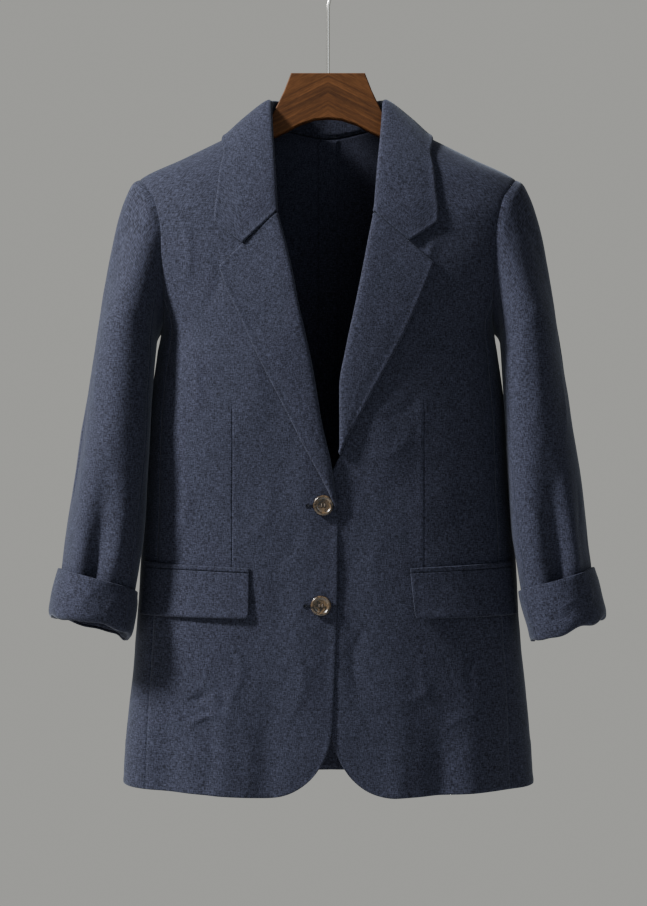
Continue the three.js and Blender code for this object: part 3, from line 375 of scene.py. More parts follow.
def linen_material(name):
    """Plain-woven navy linen: short thick and thin stretches of thread both ways, and fuzz."""
    material, shader = principled(
        name, Roughness=0.88, Sheen_Weight=0.1, Sheen_Roughness=0.4,
        Sheen_Tint=(0.7, 0.8, 1.0, 1), Specular_IOR_Level=0.15)
    tree = material.node_tree
    add, link = tree.nodes.new, tree.links.new
    uv = add("ShaderNodeTexCoord").outputs["UV"]

    def noise(scale, detail=2.0, roughness=0.5):
        """Cloudy noise on the cloth's UV map, with its own scale each way."""
        mapping, texture = add("ShaderNodeMapping"), add("ShaderNodeTexNoise")
        mapping.inputs["Scale"].default_value = (*scale, 1)
        texture.inputs["Scale"].default_value = 1
        texture.inputs["Detail"].default_value = detail
        texture.inputs["Roughness"].default_value = roughness
        link(uv, mapping.inputs["Vector"])
        link(mapping.outputs["Vector"], texture.inputs["Vector"])
        return texture.outputs["Fac"]

    def maths(operation, one, two=0.5, three=0.5):
        """A Math node, whose inputs are numbers or other nodes' outputs."""
        node = add("ShaderNodeMath")
        node.operation = operation
        for socket, value in zip(node.inputs, (one, two, three)):
            if isinstance(value, (int, float)):
                socket.default_value = value
            else:
                link(value, socket)
        return node.outputs[0]

    warp = noise((1450, 300))
    weft = noise((270, 1350))
    slub_down, slub_across = noise((1100, 80), 1.0), noise((70, 1000), 1.0)
    bloom = noise((170, 130), 3.0)
    threads = maths("ADD", maths("MULTIPLY", warp, 0.42), maths("MULTIPLY", weft, 0.42))
    slubs = maths("ADD", maths("MULTIPLY", slub_down, 0.18), maths("MULTIPLY", slub_across, 0.14))
    threads = maths("ADD", threads, slubs)
    shade = maths("MULTIPLY_ADD", bloom, 0.07, threads)
    ramp = add("ShaderNodeValToRGB")
    ramp.color_ramp.elements[0].position = 0.53
    ramp.color_ramp.elements[0].color = (0.0035, 0.0042, 0.0092, 1)
    ramp.color_ramp.elements[1].position = 0.75
    ramp.color_ramp.elements[1].color = (0.03, 0.034, 0.0585, 1)
    link(shade, ramp.inputs["Fac"])
    link(ramp.outputs["Color"], shader.inputs["Base Color"])
    bump = add("ShaderNodeBump")
    bump.inputs["Strength"].default_value = 0.6
    bump.inputs["Distance"].default_value = 0.0004
    link(threads, bump.inputs["Height"])
    link(bump.outputs["Normal"], shader.inputs["Normal"])
    return material


linen = linen_material("linen")
ARMHOLE = {"z": -334, "high": 80, "front": 55, "back": 52, "power": 2.4}
FRONT_SEAM_TURN = 135
BACK_SEAM_TURN = 225
FRONT_SEAM_ANGLE = 75
BACK_SEAM_ANGLE = 112
BACK_SEAM_BEND = 120
HEM_EASE = 0.86
# The shares of a panel's outer edge that are shoulder, armhole and side seam, in steps, and the
# degrees round the armhole for each of its steps
SHOULDER_STEPS, ARMHOLE_STEPS, SEAM_STEPS = 3, 9, 14
PANEL_STEPS = SHOULDER_STEPS + ARMHOLE_STEPS + SEAM_STEPS
SHOULDER_END = SHOULDER_STEPS / PANEL_STEPS
ARMHOLE_END = (SHOULDER_STEPS + ARMHOLE_STEPS) / PANEL_STEPS
STEP_TURN = 15
# The height of the turned hem's upper edge, which shows through as a low step
HEM_FOLD_Z = -850.5


def armhole(turn):
    """The armhole's point at a turn round it: 0 at the top, 90 in front and 180 at the foot."""
    turn = np.asarray(turn, float)
    ahead = turn <= 180
    deep = np.where(ahead, ARMHOLE["front"], ARMHOLE["back"])
    angle = np.radians(turn)
    out = (np.abs(np.cos(angle) / ARMHOLE["high"]) ** ARMHOLE["power"]
           + np.abs(np.sin(angle) / deep) ** ARMHOLE["power"]) ** (-1 / ARMHOLE["power"])
    z = ARMHOLE["z"] + out * np.cos(angle)
    y = out * np.abs(np.sin(angle))
    depth = np.where(ahead, body_front(z), body_back(z))
    x = body_half(z) * (1 - (y / depth) ** FORM_POWER) ** (1 / FORM_POWER)
    return np.degrees(np.arctan2(x, np.where(ahead, y, -y))), z


def front_seam(t):
    """The front's long seam: it eases forward to its own angle, then runs straight down."""
    angle, z = armhole(FRONT_SEAM_TURN)
    return (lerp(angle, FRONT_SEAM_ANGLE, smoothstep(t, 0, 0.4)),
            lerp(z, hem_z(FRONT_SEAM_ANGLE), t))


def back_seam(t):
    """The back's long seam: it bends like a quarter sine wave, then runs straight down."""
    angle, top = armhole(BACK_SEAM_TURN)
    z = lerp(top, hem_z(BACK_SEAM_ANGLE), t)
    bend = np.sin(np.minimum((top - z) / BACK_SEAM_BEND, 1) * (math.pi / 2))
    return lerp(angle, BACK_SEAM_ANGLE, bend), z


def outer_edge(top_z, armhole_turn, seam):
    """A panel's outer edge: the shoulder seam, the armhole and the side seam."""
    def edge(v):
        step = v * PANEL_STEPS
        on_shoulder = step < SHOULDER_STEPS
        on_armhole = ~on_shoulder & (step < SHOULDER_STEPS + ARMHOLE_STEPS)
        turn = STEP_TURN * np.clip(step - SHOULDER_STEPS, 0, ARMHOLE_STEPS)
        angle, z = armhole(armhole_turn(turn))
        down = np.clip((step - SHOULDER_STEPS - ARMHOLE_STEPS) / SEAM_STEPS, 0, 1) ** HEM_EASE
        seam_angle, seam_z = seam(down)
        shoulder_z = lerp(top_z, SHOULDER_Z, np.clip(step / SHOULDER_STEPS, 0, 1))
        return (np.select([on_shoulder, on_armhole], [90 + 0 * v, angle], seam_angle),
                np.select([on_shoulder, on_armhole], [shoulder_z, z], seam_z))
    return edge


# Rows down a panel: along its shoulder, its armhole and its side seam, closest at both ends
PANEL_ROWS = np.r_[0, 0.0006, 0.0016, np.linspace(0.003, SHOULDER_END, 40)[:-1],
                   np.linspace(SHOULDER_END, ARMHOLE_END, 62)[:-1], np.linspace(ARMHOLE_END, 0.995, 176),
                   0.9965, 0.9978, 0.9987, 0.9994, 1]
# The height at which the girth is measured, to lay out the weave
GIRTH_Z = -440
girth_angles = np.linspace(-20, 380, 401)
girth_steps = np.linalg.norm(np.diff(on_form(girth_angles, GIRTH_Z), axis=0), axis=-1)


def girth(angle):
    """The distance round the form, in millimetres, at the chest."""
    return np.interp(angle, girth_angles, np.r_[0, np.cumsum(girth_steps)])


RISE_Z = np.linspace(-940, -120, 165)
rise_steps = np.linalg.norm(np.diff(on_form(girth_angles[:, None], RISE_Z[None]), axis=1), axis=-1)
rise_sums = np.cumsum(np.pad(rise_steps, ((0, 0), (1, 0))), axis=1)


def rise(angle, z):
    """The distance up over the form, in millimetres, from the hem."""
    at_angle = np.interp(angle, girth_angles, np.arange(len(girth_angles)))
    at_z = np.interp(z, RISE_Z, np.arange(len(RISE_Z)))
    a = np.minimum(at_angle.astype(int), len(girth_angles) - 2)
    b = np.minimum(at_z.astype(int), len(RISE_Z) - 2)
    low = lerp(rise_sums[a, b], rise_sums[a + 1, b], at_angle - a)
    high = lerp(rise_sums[a, b + 1], rise_sums[a + 1, b + 1], at_angle - a)
    return lerp(low, high, at_z - b)


def panel(name, side, edges, u, v, free, node, dart=None):
    """One body panel: free names its edges that aren't sewn, which are turned and rounded."""
    angle, z = patch(*edges, u, v)
    if dart:
        across = on_form(angle, z)[..., 0]
        column = dart["column"]
        target = np.array([np.interp(dart["x"], across[i], u) for i in range(len(v))])
        near = np.exp(-((u - column) / 0.16) ** 2)
        moved = u[None] + (np.clip(target, 0.3, 0.7)[:, None] - column) * near[None]
        angle = np.array([np.interp(moved[i], u, angle[i]) for i in range(len(v))])
        z = np.array([np.interp(moved[i], u, z[i]) for i in range(len(v))])
    distances = edge_distances(skin(side, angle, z))
    high, low = 0 * z, 0 * z - BODY_WALL
    if dart:
        off = on_form(angle, z)[..., 0] - dart["x"]
        length = smoothstep(-z, -dart["top"], -dart["top"] + 25) * smoothstep(
            z, dart["bottom"] - 4, dart["bottom"])
        high = high - length * (0.8 * np.exp(-(off / 0.6) ** 2) - 0.35 * np.exp(-((off + 3) / 3) ** 2))
    hem_fold = 0.35 * smoothstep(-z, -HEM_FOLD_Z - 1, -HEM_FOLD_Z + 1) if "bottom" in free else 0
    high = high + hem_fold
    for edge, distance in zip(("left", "right", "top", "bottom"), distances):
        if edge in free:
            puff = 0.35 * np.exp(-((distance - 4) / 3.5) ** 2)
            flat_part = rounded(distance, 1.1)
            high = -BODY_WALL / 2 + (high + puff + BODY_WALL / 2) * flat_part
            low = -BODY_WALL / 2 + (low + BODY_WALL / 2) * flat_part - 0.02
        else:
            high = high - seam_dip(distance)
            low = low + 0.4 * np.exp(-(distance / 1.1) ** 2)
    low = np.minimum(low, high - 0.04)
    piece = cloth_mesh(name, skin(side, angle, z, high), skin(side, angle, z, low), linen,
                       place=(girth(angle), -rise(angle, z)))
    dress(piece, [node])
    return piece


def neck_z(angle):
    """The height of the neck seam behind the shoulders, which drops as a sine squared."""
    return NECK_POINT_Z - BACK_NECK_DROP * np.sin(np.radians(angle - 90)) ** 2


for side in ("right", "left"):
    back_edges = (
        lambda v: (180 + 0 * v, lerp(neck_z(180), hem_z(180), v ** 1.25)),
        outer_edge(NECK_POINT_Z, lambda turn: 360 - turn, back_seam),
        lambda u: (lerp(180, 90, u), neck_z(lerp(180, 90, u))),
        lambda u: (lerp(180, BACK_SEAM_ANGLE, u), hem_z(lerp(180, BACK_SEAM_ANGLE, u))),
    )
    panel(f"cloth_back_{side}", side, back_edges, steps(58), PANEL_ROWS, ("bottom",),
          f"back_{side}")


# Side panels: one of the same linen under each arm, from the foot of the armhole to the hem, sewn
# to the front's and the back's long seams. Its hem is turned up.
for side in ("right", "left"):
    side_edges = (
        front_seam, back_seam,
        lambda u: armhole(lerp(FRONT_SEAM_TURN, BACK_SEAM_TURN, u)),
        lambda u: (lerp(FRONT_SEAM_ANGLE, BACK_SEAM_ANGLE, u),
                   hem_z(lerp(FRONT_SEAM_ANGLE, BACK_SEAM_ANGLE, u))),
    )
    fine = (0.0025, 0.006, 0.011, 0.018, 0.025)
    rows = np.r_[0, 0.0005, 0.0012, 0.0022, np.linspace(0.004, 0.99, 180), 0.993, 0.9955, 0.9975,
                 0.9988, 1]
    panel(f"cloth_side_{side}", side, side_edges, steps(46, fine), rows, ("bottom",),
          f"side_{side}")


# Fronts: the right one laps over the left. Each has its open edge down to the rounded corner,
# a bust dart, and the turned hem that shows as a faint line.
FRONT_TIP = 0.8
GORGE_Z = -295
CHEST_Z = -440
CORNER_BOTTOM = -901
CORNER_SPLIT_Z = -878
FRONT_EDGES = {
    "right": {
        "z": [-193.5, -215, -255, -297, -323, -353, -392, -454, -517, -560, -577, -594, -615,
              -737, -814],
        "x": [69.4, 66, 59, 52, 45.3, 38, 30.1, 16.4, 5.6, -4.1, -6.2, -8.1, -10.2, -8.2, -5.1],
        "behind": [0, 0, 2, 4.6, 3.4, 3.4, 3.4, 3.4, 3.4, 3.2, 2.6, 1.2, 0, 0, 0],
    },
    "left": {
        "z": [-193.5, -215, -255, -299, -359, -407, -438, -478, -540, -556, -578, -600, -720, -805],
        "x": [69.4, 66, 57, 46.5, 34.6, 24.6, 17.9, 11.4, 12, 7, -3, -12, -12, 0.5],
        "behind": [0, 0, 2.4, 6, 3.4, 3.4, 3.4, 3.4, 2.6, 1, 0, 0, 0, 0],
    },
}
# The rounded hem corners: the quarter round's centre x and z, its reach and its power
CORNERS = {"right": (68, -814, 73, 2.2), "left": (70.5, -805, 70, 2.2)}
DART = {"x": 99, "top": -484, "bottom": -659, "column": 0.5}
edge_seen = {side: curve(FRONT_EDGES[side], "z", "x") for side in FRONT_EDGES}
edge_behind = {side: curve(FRONT_EDGES[side], "z", "behind") for side in FRONT_EDGES}


def panel_edge_x(side, z):
    """The x of a front panel's own edge, which the fold line hides beside the lapel."""
    return edge_seen[side](z) + edge_behind[side](z)


def front_edge_x(side, z):
    """The x of the open edge, which turns into a superellipse at the rounded corner."""
    x, top, wide, power = CORNERS[side]
    down = np.clip((top - z) / (top - CORNER_BOTTOM), 0, 1)
    return np.where(z > top, panel_edge_x(side, z), x - wide * (1 - down ** power) ** (1 / power))


def front_hem_z(side, x):
    """The height of the hem: the corner's superellipse, and beyond it the body's hem."""
    centre, top, wide, power = CORNERS[side]
    across = np.clip((centre - x) / wide, 0, 1)
    corner = top - (top - CORNER_BOTTOM) * (1 - across ** power) ** (1 / power)
    return np.where(x > centre, hem_z(front_angle(x, hem_z(0))), corner)


for side in ("right", "left"):
    tip_z = FRONT_EDGES[side]["z"][0]

    def front_left(v):
        """The open edge, down to where the rounded corner is split."""
        z = np.where(v < ARMHOLE_END, lerp(tip_z, CHEST_Z, (v / ARMHOLE_END) ** 1.1),
                     lerp(CHEST_Z, CORNER_SPLIT_Z,
                          np.clip((v - ARMHOLE_END) / (1 - ARMHOLE_END), 0, 1) ** HEM_EASE))
        return front_angle(front_edge_x(side, z), z), z

    front_right = outer_edge(NECK_POINT_Z - FRONT_TIP, lambda turn: turn, front_seam)
    corner_x = front_edge_x(side, CORNER_SPLIT_Z)
    seam_x = on_form(*front_seam(1))[0]

    def front_bottom(u):
        """The hem, from where the rounded corner is split to the side seam."""
        x = lerp(corner_x, seam_x, u)
        z = front_hem_z(side, x)
        return front_angle(x, z), z

    ends = np.array([0.0, 1.0])
    tip, shoulder = [list(zip(*edge(ends)))[0] for edge in (front_left, front_right)]
    front_edges = (front_left, front_right, straight(tip, shoulder), front_bottom)
    u = steps(84) ** 1.15
    beside = np.array([0.001, 0.0024, 0.0042, 0.007])
    u = np.sort(np.r_[u, DART["column"], DART["column"] + beside, DART["column"] - beside])
    panel(f"cloth_front_{side}", side, front_edges, u, PANEL_ROWS, ("left", "bottom"),
          f"front_{side}", DART)


# Seam allowances: the linen's edges inside each seam, pressed open to both sides of it, down the
# centre back, the side seams and the shoulders.
ALLOWANCE_WALL = 0.7
ALLOWANCE_GAP = 0.05


def allowance(name, side, path, half_width, count):
    """A strip inside the cloth along a seam, given as angle and z for each share of its length.
    On the side "both" it lies over the centre back, half on each back panel.
    """
    t = np.linspace(0, 1, count)
    angle, z = path(t)
    radius = np.linalg.norm(on_form(angle, z)[..., :2], axis=-1)
    across = np.linspace(-1, 1, 9)[None] * np.degrees(half_width / radius)[:, None]
    angle = angle[:, None] + across
    z = z[:, None] + 0 * across
    grids = []
    for out in (-BODY_WALL - ALLOWANCE_GAP, -BODY_WALL - ALLOWANCE_GAP - ALLOWANCE_WALL):
        if side == "both":
            one = skin("right", np.minimum(angle, 180), z, out)
            two = skin("left", 360 - np.maximum(angle, 180), z, out)
            grids.append(np.where((angle <= 180)[..., None], one, two))
        else:
            grids.append(skin(side, angle, z, out))
    piece = cloth_mesh(name, *grids, linen, place=(girth(angle), -rise(angle, z)))
    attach(piece, "root")


allowance("allowance_back", "both", lambda t: (180 + 0 * t, lerp(neck_z(180) - 1, -893, t)), 11, 220)
for side in ("right", "left"):
    allowance(f"allowance_side_front_{side}", side, lambda t: front_seam(0.01 + 0.985 * t), 8, 160)
    allowance(f"allowance_side_back_{side}", side, lambda t: back_seam(0.01 + 0.985 * t), 8, 160)
    allowance(f"allowance_shoulder_{side}", side,
              lambda t: (90 + 0 * t, lerp(NECK_POINT_Z - 3, SHOULDER_Z + 1, t)), 7, 60)


# Lapels: each starts in the front's edge, rolls over the fold line and lies back on the chest.
# Rows run down the fold line, and stations run from the seam, over the fold, to the free edge.
ROLL_RADIUS = 2.3
LEAF_LIFT = 3.6
TURNED_WALL = 2
NOTCH = {"part": 0.54, "from": 4.4, "deepest": 0.48}
LAPELS = {
    "right": {
        "z": [-296.8, -323, -353, -392, -430, -480, -530, -551, -566, -581, -592, -599],
        "edge_x": [112, 104.9, 93, 78, 62.5, 45, 25.5, 14.6, 7, -0.2, -4.8, -7.4],
        "edge_z": [-352.5, -374.5, -398.5, -432, -464, -498, -537, -557, -571, -585, -595, -601],
    },
    "left": {
        "z": [-296.8, -322, -350, -380, -412, -450, -490, -514, -529, -539, -545],
        "edge_x": [108.2, 101, 92, 80, 67, 49.4, 33.5, 22.4, 16.2, 13, 12],
        "edge_z": [-349.5, -368, -390, -417, -443, -475, -505, -525, -537, -544, -547.5],
    },
}
FOLD_STATION = 2.9
STATIONS = np.r_[np.linspace(0, FOLD_STATION, 18), np.linspace(3, 4.93, 34), 4.95, 4.965, 4.98, 4.99, 5]
for side in LAPELS:
    LAPELS[side]["at"] = list(range(len(LAPELS[side]["z"])))


def turned_sections(seam, gap, fold, edge, over, towards, crown):
    """Smooth sections through six points each: over points out, and towards to the fold."""
    def shifted(point, along, out):
        """A point moved along towards the fold, and out."""
        return point + towards * along + over * out
    roll = np.clip(0.4 * np.linalg.norm(edge - fold, axis=-1, keepdims=True), 0.5, ROLL_RADIUS)
    crown = crown * roll / ROLL_RADIUS
    back = shifted(fold, -roll, roll)
    points = [shifted(seam, gap, -BODY_WALL / 2), shifted(fold, -roll, -roll * 0.92),
              shifted(fold, -TURNED_WALL / 2, 0), back,
              lerp(back, edge, NOTCH["part"]) + over * crown, edge]
    points = [2 * points[0] - points[1], *points, 2 * points[-1] - points[-2]]
    columns = []
    for station in STATIONS:
        i = min(int(station), 4)
        t = station - i
        p0, p1, p2, p3 = points[i:i + 4]
        d0, d1, d2 = [np.linalg.norm(b - a, axis=-1, keepdims=True) ** 0.5
                      for a, b in ((p0, p1), (p1, p2), (p2, p3))]
        one = ((p1 - p0) / d0 - (p2 - p0) / (d0 + d1) + (p2 - p1) / d1) * d1
        two = ((p2 - p1) / d1 - (p3 - p1) / (d1 + d2) + (p3 - p2) / d2) * d1
        bend = t * t * (3 - 2 * t)
        columns.append(lerp(p1, p2, bend) + one * t * (1 - t) ** 2 + two * t * t * (t - 1))
    return np.stack(columns, 1)


def grid_normals(grid, wrap=False):
    """The way out of a grid at each point: the cross product of its two directions."""
    if wrap:
        wide = np.concatenate([grid[:, -1:], grid, grid[:, :1]], 1)
        along = wide[:, 2:] - wide[:, :-2]
    else:
        along = np.gradient(grid, axis=1)
    return unit(np.cross(along, np.gradient(grid, axis=0)))


def turned_wall(name, grid, material, relief):
    """A doubled cloth round a middle grid, plump along its free edges, which are rounded."""
    left, right, top, bottom = edge_distances(grid)
    fold = np.searchsorted(STATIONS, FOLD_STATION)
    along_fold = unit(np.gradient(grid[:, fold], axis=0))
    slant = np.sum(along_fold * unit(grid[:, -1] - grid[:, fold]), -1)[:, None]
    out = left - left[:, fold:fold + 1]
    place = (out * np.sqrt(1 - slant ** 2), top[:, fold:fold + 1] + out * slant)
    normals = grid_normals(grid)
    nearest = np.minimum(np.minimum(right, top), bottom)
    half = TURNED_WALL / 2 * np.minimum(rounded(nearest, 1.8), rounded(left + 0.4, 0.8))
    half = np.maximum(half, 0.02)
    outward = np.sign(np.mean(np.sum(normals * relief[0], -1)[:, -20:]))
    half_out = half + np.minimum(1, half) * (0.5 * np.exp(-((nearest - 2.4) / 1.5) ** 2)
                                             + relief[1] * smoothstep(nearest, 0.5, 12))
    high = grid + normals * (outward * half_out)[..., None]
    low = grid - normals * (outward * half)[..., None]
    return cloth_mesh(name, high, low, material, place=place)


def leaf_point(side, x, z, out):
    """A point this far out from a front, with its creases softened."""
    return skin(side, front_angle(x, z), z, out, relief=0.4)


lapel_tops = {}
for side in ("right", "left"):
    at = steps(150, (0.0012, 0.003, 0.006, 0.011), 0.017) * (len(LAPELS[side]["z"]) - 1)
    z, edge_x, edge_z = [curve(LAPELS[side], "at", key)(at) for key in ("z", "edge_x", "edge_z")]
    x = edge_seen[side](z)
    away = unit(np.stack([edge_x - x, edge_z - z], -1))
    seam_away = edge_behind[side](z)
    fold = leaf_point(side, x, z, ROLL_RADIUS - 0.8)
    seam = leaf_point(side, x + away[:, 0] * seam_away, z + away[:, 1] * seam_away, 0)
    over = form_normal(front_angle(x, z), z) * [SIGN[side], 1, 1]
    towards = unit(leaf_point(side, x, z, 0)
                   - leaf_point(side, x + away[:, 0], z + away[:, 1], 0))
    lift = LEAF_LIFT * (1 - 0.55 * smoothstep(at, at[-1] - 3, at[-1]))
    edge = leaf_point(side, edge_x, edge_z, lift)
    grid = turned_sections(seam, 0.45, fold, edge, over, towards, 1.6)
    lapel_tops[side] = grid[0]
    x_grid, z_grid = np.abs(grid[..., 0]), grid[..., 2]
    relief = 0.35 * waves(x_grid, z_grid, 5 if side == "right" else 7)
    lapel = turned_wall(f"cloth_lapel_{side}", grid, linen, (over[:, None], relief))
    dress(lapel, [f"lapel_{side}"])


# Collar: one doubled strip of linen, sewn round the neck from gorge to gorge. It stands up, folds
# over and lies on the shoulders, and its ends make the notches with the lapels.
COLLAR = {
    "at": [0, 1, 2, 3, 4, 5, 6],
    "fold_x": [0, 25, 46, 59.5, 56.5, 53, 50],
    "fold_y": [40, 37, 26, 2, -36, -61, -78],
    "fold_z": [-168, -167.5, -167, -169, -211, -252, -296.2],
    "edge_angle": [180, 144, 118.5, 90, 71.5, 62.3, 58],
    "edge_z": [-221, -221, -217, -209.5, -228, -268, -307.2],
}
SHOULDER_AT, GORGE_AT = 3, 6
FOLD_SHIFT = {"right": 2, "left": -3.5}
EDGE_SHIFT = -2
COLLAR_SHOULDER_LIFT = 2.2
collar_curves = {key: curve(COLLAR, "at", key) for key in COLLAR if key != "at"}


def neck_seam(side, at):
    """The neck seam, from 0 at the centre back to 6 at the gorge, as angle and z."""
    on_back = at <= SHOULDER_AT
    back_angle = lerp(180, 90, np.minimum(at / SHOULDER_AT, 1))
    z = lerp(NECK_POINT_Z, GORGE_Z, np.maximum(at - SHOULDER_AT, 0) / SHOULDER_AT)
    tip_x, tip_z = FRONT_EDGES[side]["x"][0], FRONT_EDGES[side]["z"][0]
    tip = lerp(NECK_HALF, tip_x, np.clip((NECK_POINT_Z - z) / (NECK_POINT_Z - tip_z), 0, 1))
    x = np.where(z > tip_z, tip, panel_edge_x(side, z))
    return (np.where(on_back, back_angle, front_angle(x, z)),
            np.where(on_back, neck_z(back_angle), z))


def fold_point(side, at):
    """A point of the collar's fold line, from its smooth curves."""
    point = np.stack([collar_curves[key](at) for key in ("fold_x", "fold_y", "fold_z")], -1)
    return point * [SIGN[side], 1, 1]


halves = []
for side in ("right", "left"):
    at = GORGE_AT * np.r_[np.linspace(0, 0.975, 110), 0.984, 0.99, 0.994, 0.997, 0.9988, 1]
    nearing = (at / GORGE_AT) ** 2
    angle, z = neck_seam(side, at)
    seam = skin(side, angle, z, 0, relief=0.4)
    fold = fold_point(side, at)
    lift = lerp(COLLAR_SHOULDER_LIFT, LEAF_LIFT, smoothstep(at, SHOULDER_AT, GORGE_AT))
    edge = skin(side, collar_curves["edge_angle"](at), collar_curves["edge_z"](at), lift, relief=0.4)
    fold[:, 0] += FOLD_SHIFT[side] * nearing * SIGN[side]
    edge[:, 0] += EDGE_SHIFT * nearing
    over = form_normal(angle, z) * [SIGN[side], 1, 1]
    towards = unit(np.cross(fold_point(side, at + 0.1) - fold_point(side, at - 0.1), over))
    towards *= np.sign(np.sum(towards * (fold - edge), -1, keepdims=True))
    grid = turned_sections(seam, 1, fold, edge, over, towards, 2.1)
    part = np.clip((STATIONS - 3) / 2, 0, 1)
    end_x, end_z = np.abs(grid[-1, :, 0]), grid[-1, :, 2]
    top = lapel_tops[side][STATIONS >= FOLD_STATION]
    gap = end_z - np.interp(end_x, np.abs(top[:, 0]), top[:, 2]) - 0.25
    notch = np.searchsorted(part, NOTCH["deepest"])
    peak = np.where(part < NOTCH["deepest"], gap * smoothstep(part, -0.02, 0.05),
                    gap[notch] * (1 - part) / (1 - part[notch]))
    drop = np.maximum(peak[None], 0) * smoothstep(at, NOTCH["from"], GORGE_AT)[:, None]
    across, height = np.abs(grid[..., 0]), grid[..., 2]
    slide = (on_form(front_angle(across, height - drop), height - drop)
             - on_form(front_angle(across, height), height)) * [0, 1, 1]
    halves.append((grid + np.where(drop[..., None] > 0, slide, 0), over))
grid = np.concatenate([halves[0][0][::-1], halves[1][0][1:]])
over = np.concatenate([halves[0][1][::-1], halves[1][1][1:]])
relief = 0.3 * waves(grid[..., 0] + grid[..., 1], grid[..., 2], 9)
collar = turned_wall("cloth_collar", grid, linen, (over[:, None], relief))
dress(collar, ["collar"])


# Sleeves: two-piece, of the same linen, set into the armhole with a little fullness, with long
# soft folds. The first ring is the seam allowance inside the armhole.
SLEEVE_WALL = 1.4
SLEEVE_POWER = 2.2
SLEEVE_HEAD_Z = -430
CUFF_BOTTOM_Z = -728.5
SLEEVE_END_UP = 2.6
ARMHOLE_GAP = 0.2
SLEEVE = {
    "z": [-430, -487, -522, -574, -627, -662, -693, -740],
    "outer": [246.5, 255.3, 260.5, 267.8, 275.5, 279.7, 283.4, 289],
    "inner": [182.2, 185.5, 187.4, 189.8, 192.9, 198, 203, 210.5],
    "depth": [64, 60, 58, 55, 52, 50, 48.5, 47],
    "centre": [-16, -24, -29, -35, -39, -41, -43, -45],
    "toe": [6, 11, 14, 16, 16, 16, 16, 16],
}
SLEEVE_TILT = {"z": [-430, -600, -680, -740], "tilt": [0, 9, 13, 12.5]}
# Folds: the turn, where each starts and ends, its half width in degrees and its depth
SLEEVE_FOLDS = {
    "right": [(73, -520, -672, 13, -12), (98, -540, -665, 10, 3.5), (48, -520, -665, 14, 2),
              (268, -500, -670, 16, -5)],
    "left": [(74, -480, -676, 14.5, -12.5), (48, -540, -665, 11, 3.5), (104, -520, -665, 13, 2),
             (262, -520, -672, 16, -5)],
}
# Creases: the turn and z of both ends, the half width in millimetres and the height
SLEEVE_CREASES = {
    "right": [
        (70, -372, 100, -416, 5, 0.9), (94, -392, 122, -430, 4, -0.9), (50, -440, 66, -520, 5, 0.7),
        (98, -470, 112, -556, 5, -0.8), (30, -560, 58, -616, 5, 0.8), (64, -600, 90, -654, 4, 0.8),
        (20, -476, 30, -560, 6, -0.8), (120, -560, 106, -640, 5, 0.9), (240, -440, 262, -520, 6, 0.9),
        (300, -520, 282, -600, 6, -0.9), (230, -590, 255, -640, 5, 0.8), (320, -400, 306, -480, 6, 0.8),
    ],
    "left": [
        (66, -366, 104, -420, 5, 0.9), (100, -400, 126, -444, 4, -0.9), (40, -450, 52, -540, 5, 0.8),
        (84, -460, 104, -540, 5, 0.7), (24, -570, 50, -640, 5, -0.8), (110, -580, 92, -650, 4, 0.8),
        (60, -520, 74, -590, 5, -0.7), (250, -430, 236, -520, 6, 0.9), (290, -540, 306, -620, 6, -0.9),
        (268, -600, 244, -660, 5, 0.8), (330, -420, 318, -500, 6, 0.8),
    ],
}
# Millimetres of cloth for each degree of turn, and the turns of the two long seams
MM_PER_TURN = 0.82
SEAM_TURNS = (120, 240)
# How far below the hook the folds end, and how far the inward ones go on inside the turn-up
FOLD_REACH = 679
FOLD_REACH_INSIDE = 706
sleeve = {key: curve(SLEEVE, "z", key) for key in SLEEVE if key != "z"}
sleeve_tilt = curve(SLEEVE_TILT, "z", "tilt")


def sleeve_point(side, turn, level, fold_end=FOLD_REACH):
    """A point of the hanging sleeve: turn 0 outside, 90 in front, 180 next to the body."""
    angle = np.radians(turn)
    z = level + sleeve_tilt(level) * np.cos(angle)
    toe = np.radians(sleeve["toe"](z))
    depth = sleeve["depth"](z)
    outer, inner = sleeve["outer"](z), sleeve["inner"](z)
    if side == "left":
        outer = outer - 3.5 * smoothstep(-z, 560, 650) * (1 - smoothstep(-z, 690, 735))
        inner = inner + 5 * smoothstep(-z, 690, 735)
    reach_x = (outer - inner) / 2
    half = np.sqrt(reach_x ** 2 - (depth * np.sin(toe)) ** 2) / np.cos(toe)
    out = (np.abs(np.cos(angle) / half) ** SLEEVE_POWER
           + np.abs(np.sin(angle) / depth) ** SLEEVE_POWER) ** (-1 / SLEEVE_POWER)
    for middle, start, end, spread, rise in SLEEVE_FOLDS[side]:
        across = np.exp(-(((turn - middle) / spread) ** 2))
        end_z = fold_end if rise < 0 else FOLD_REACH
        fade = 1 - smoothstep(-z, end_z - 24, end_z)
        out = out + rise * across * smoothstep(-z, -start, -end) * fade
    outward, forward = out * np.cos(angle), out * np.sin(angle)
    centre_x = (outer + inner) / 2
    point = np.stack([centre_x + outward * np.cos(toe) - forward * np.sin(toe),
                      sleeve["centre"](z) - outward * np.sin(toe) - forward * np.cos(toe), z], -1)
    return point * [SIGN[side], 1, 1]


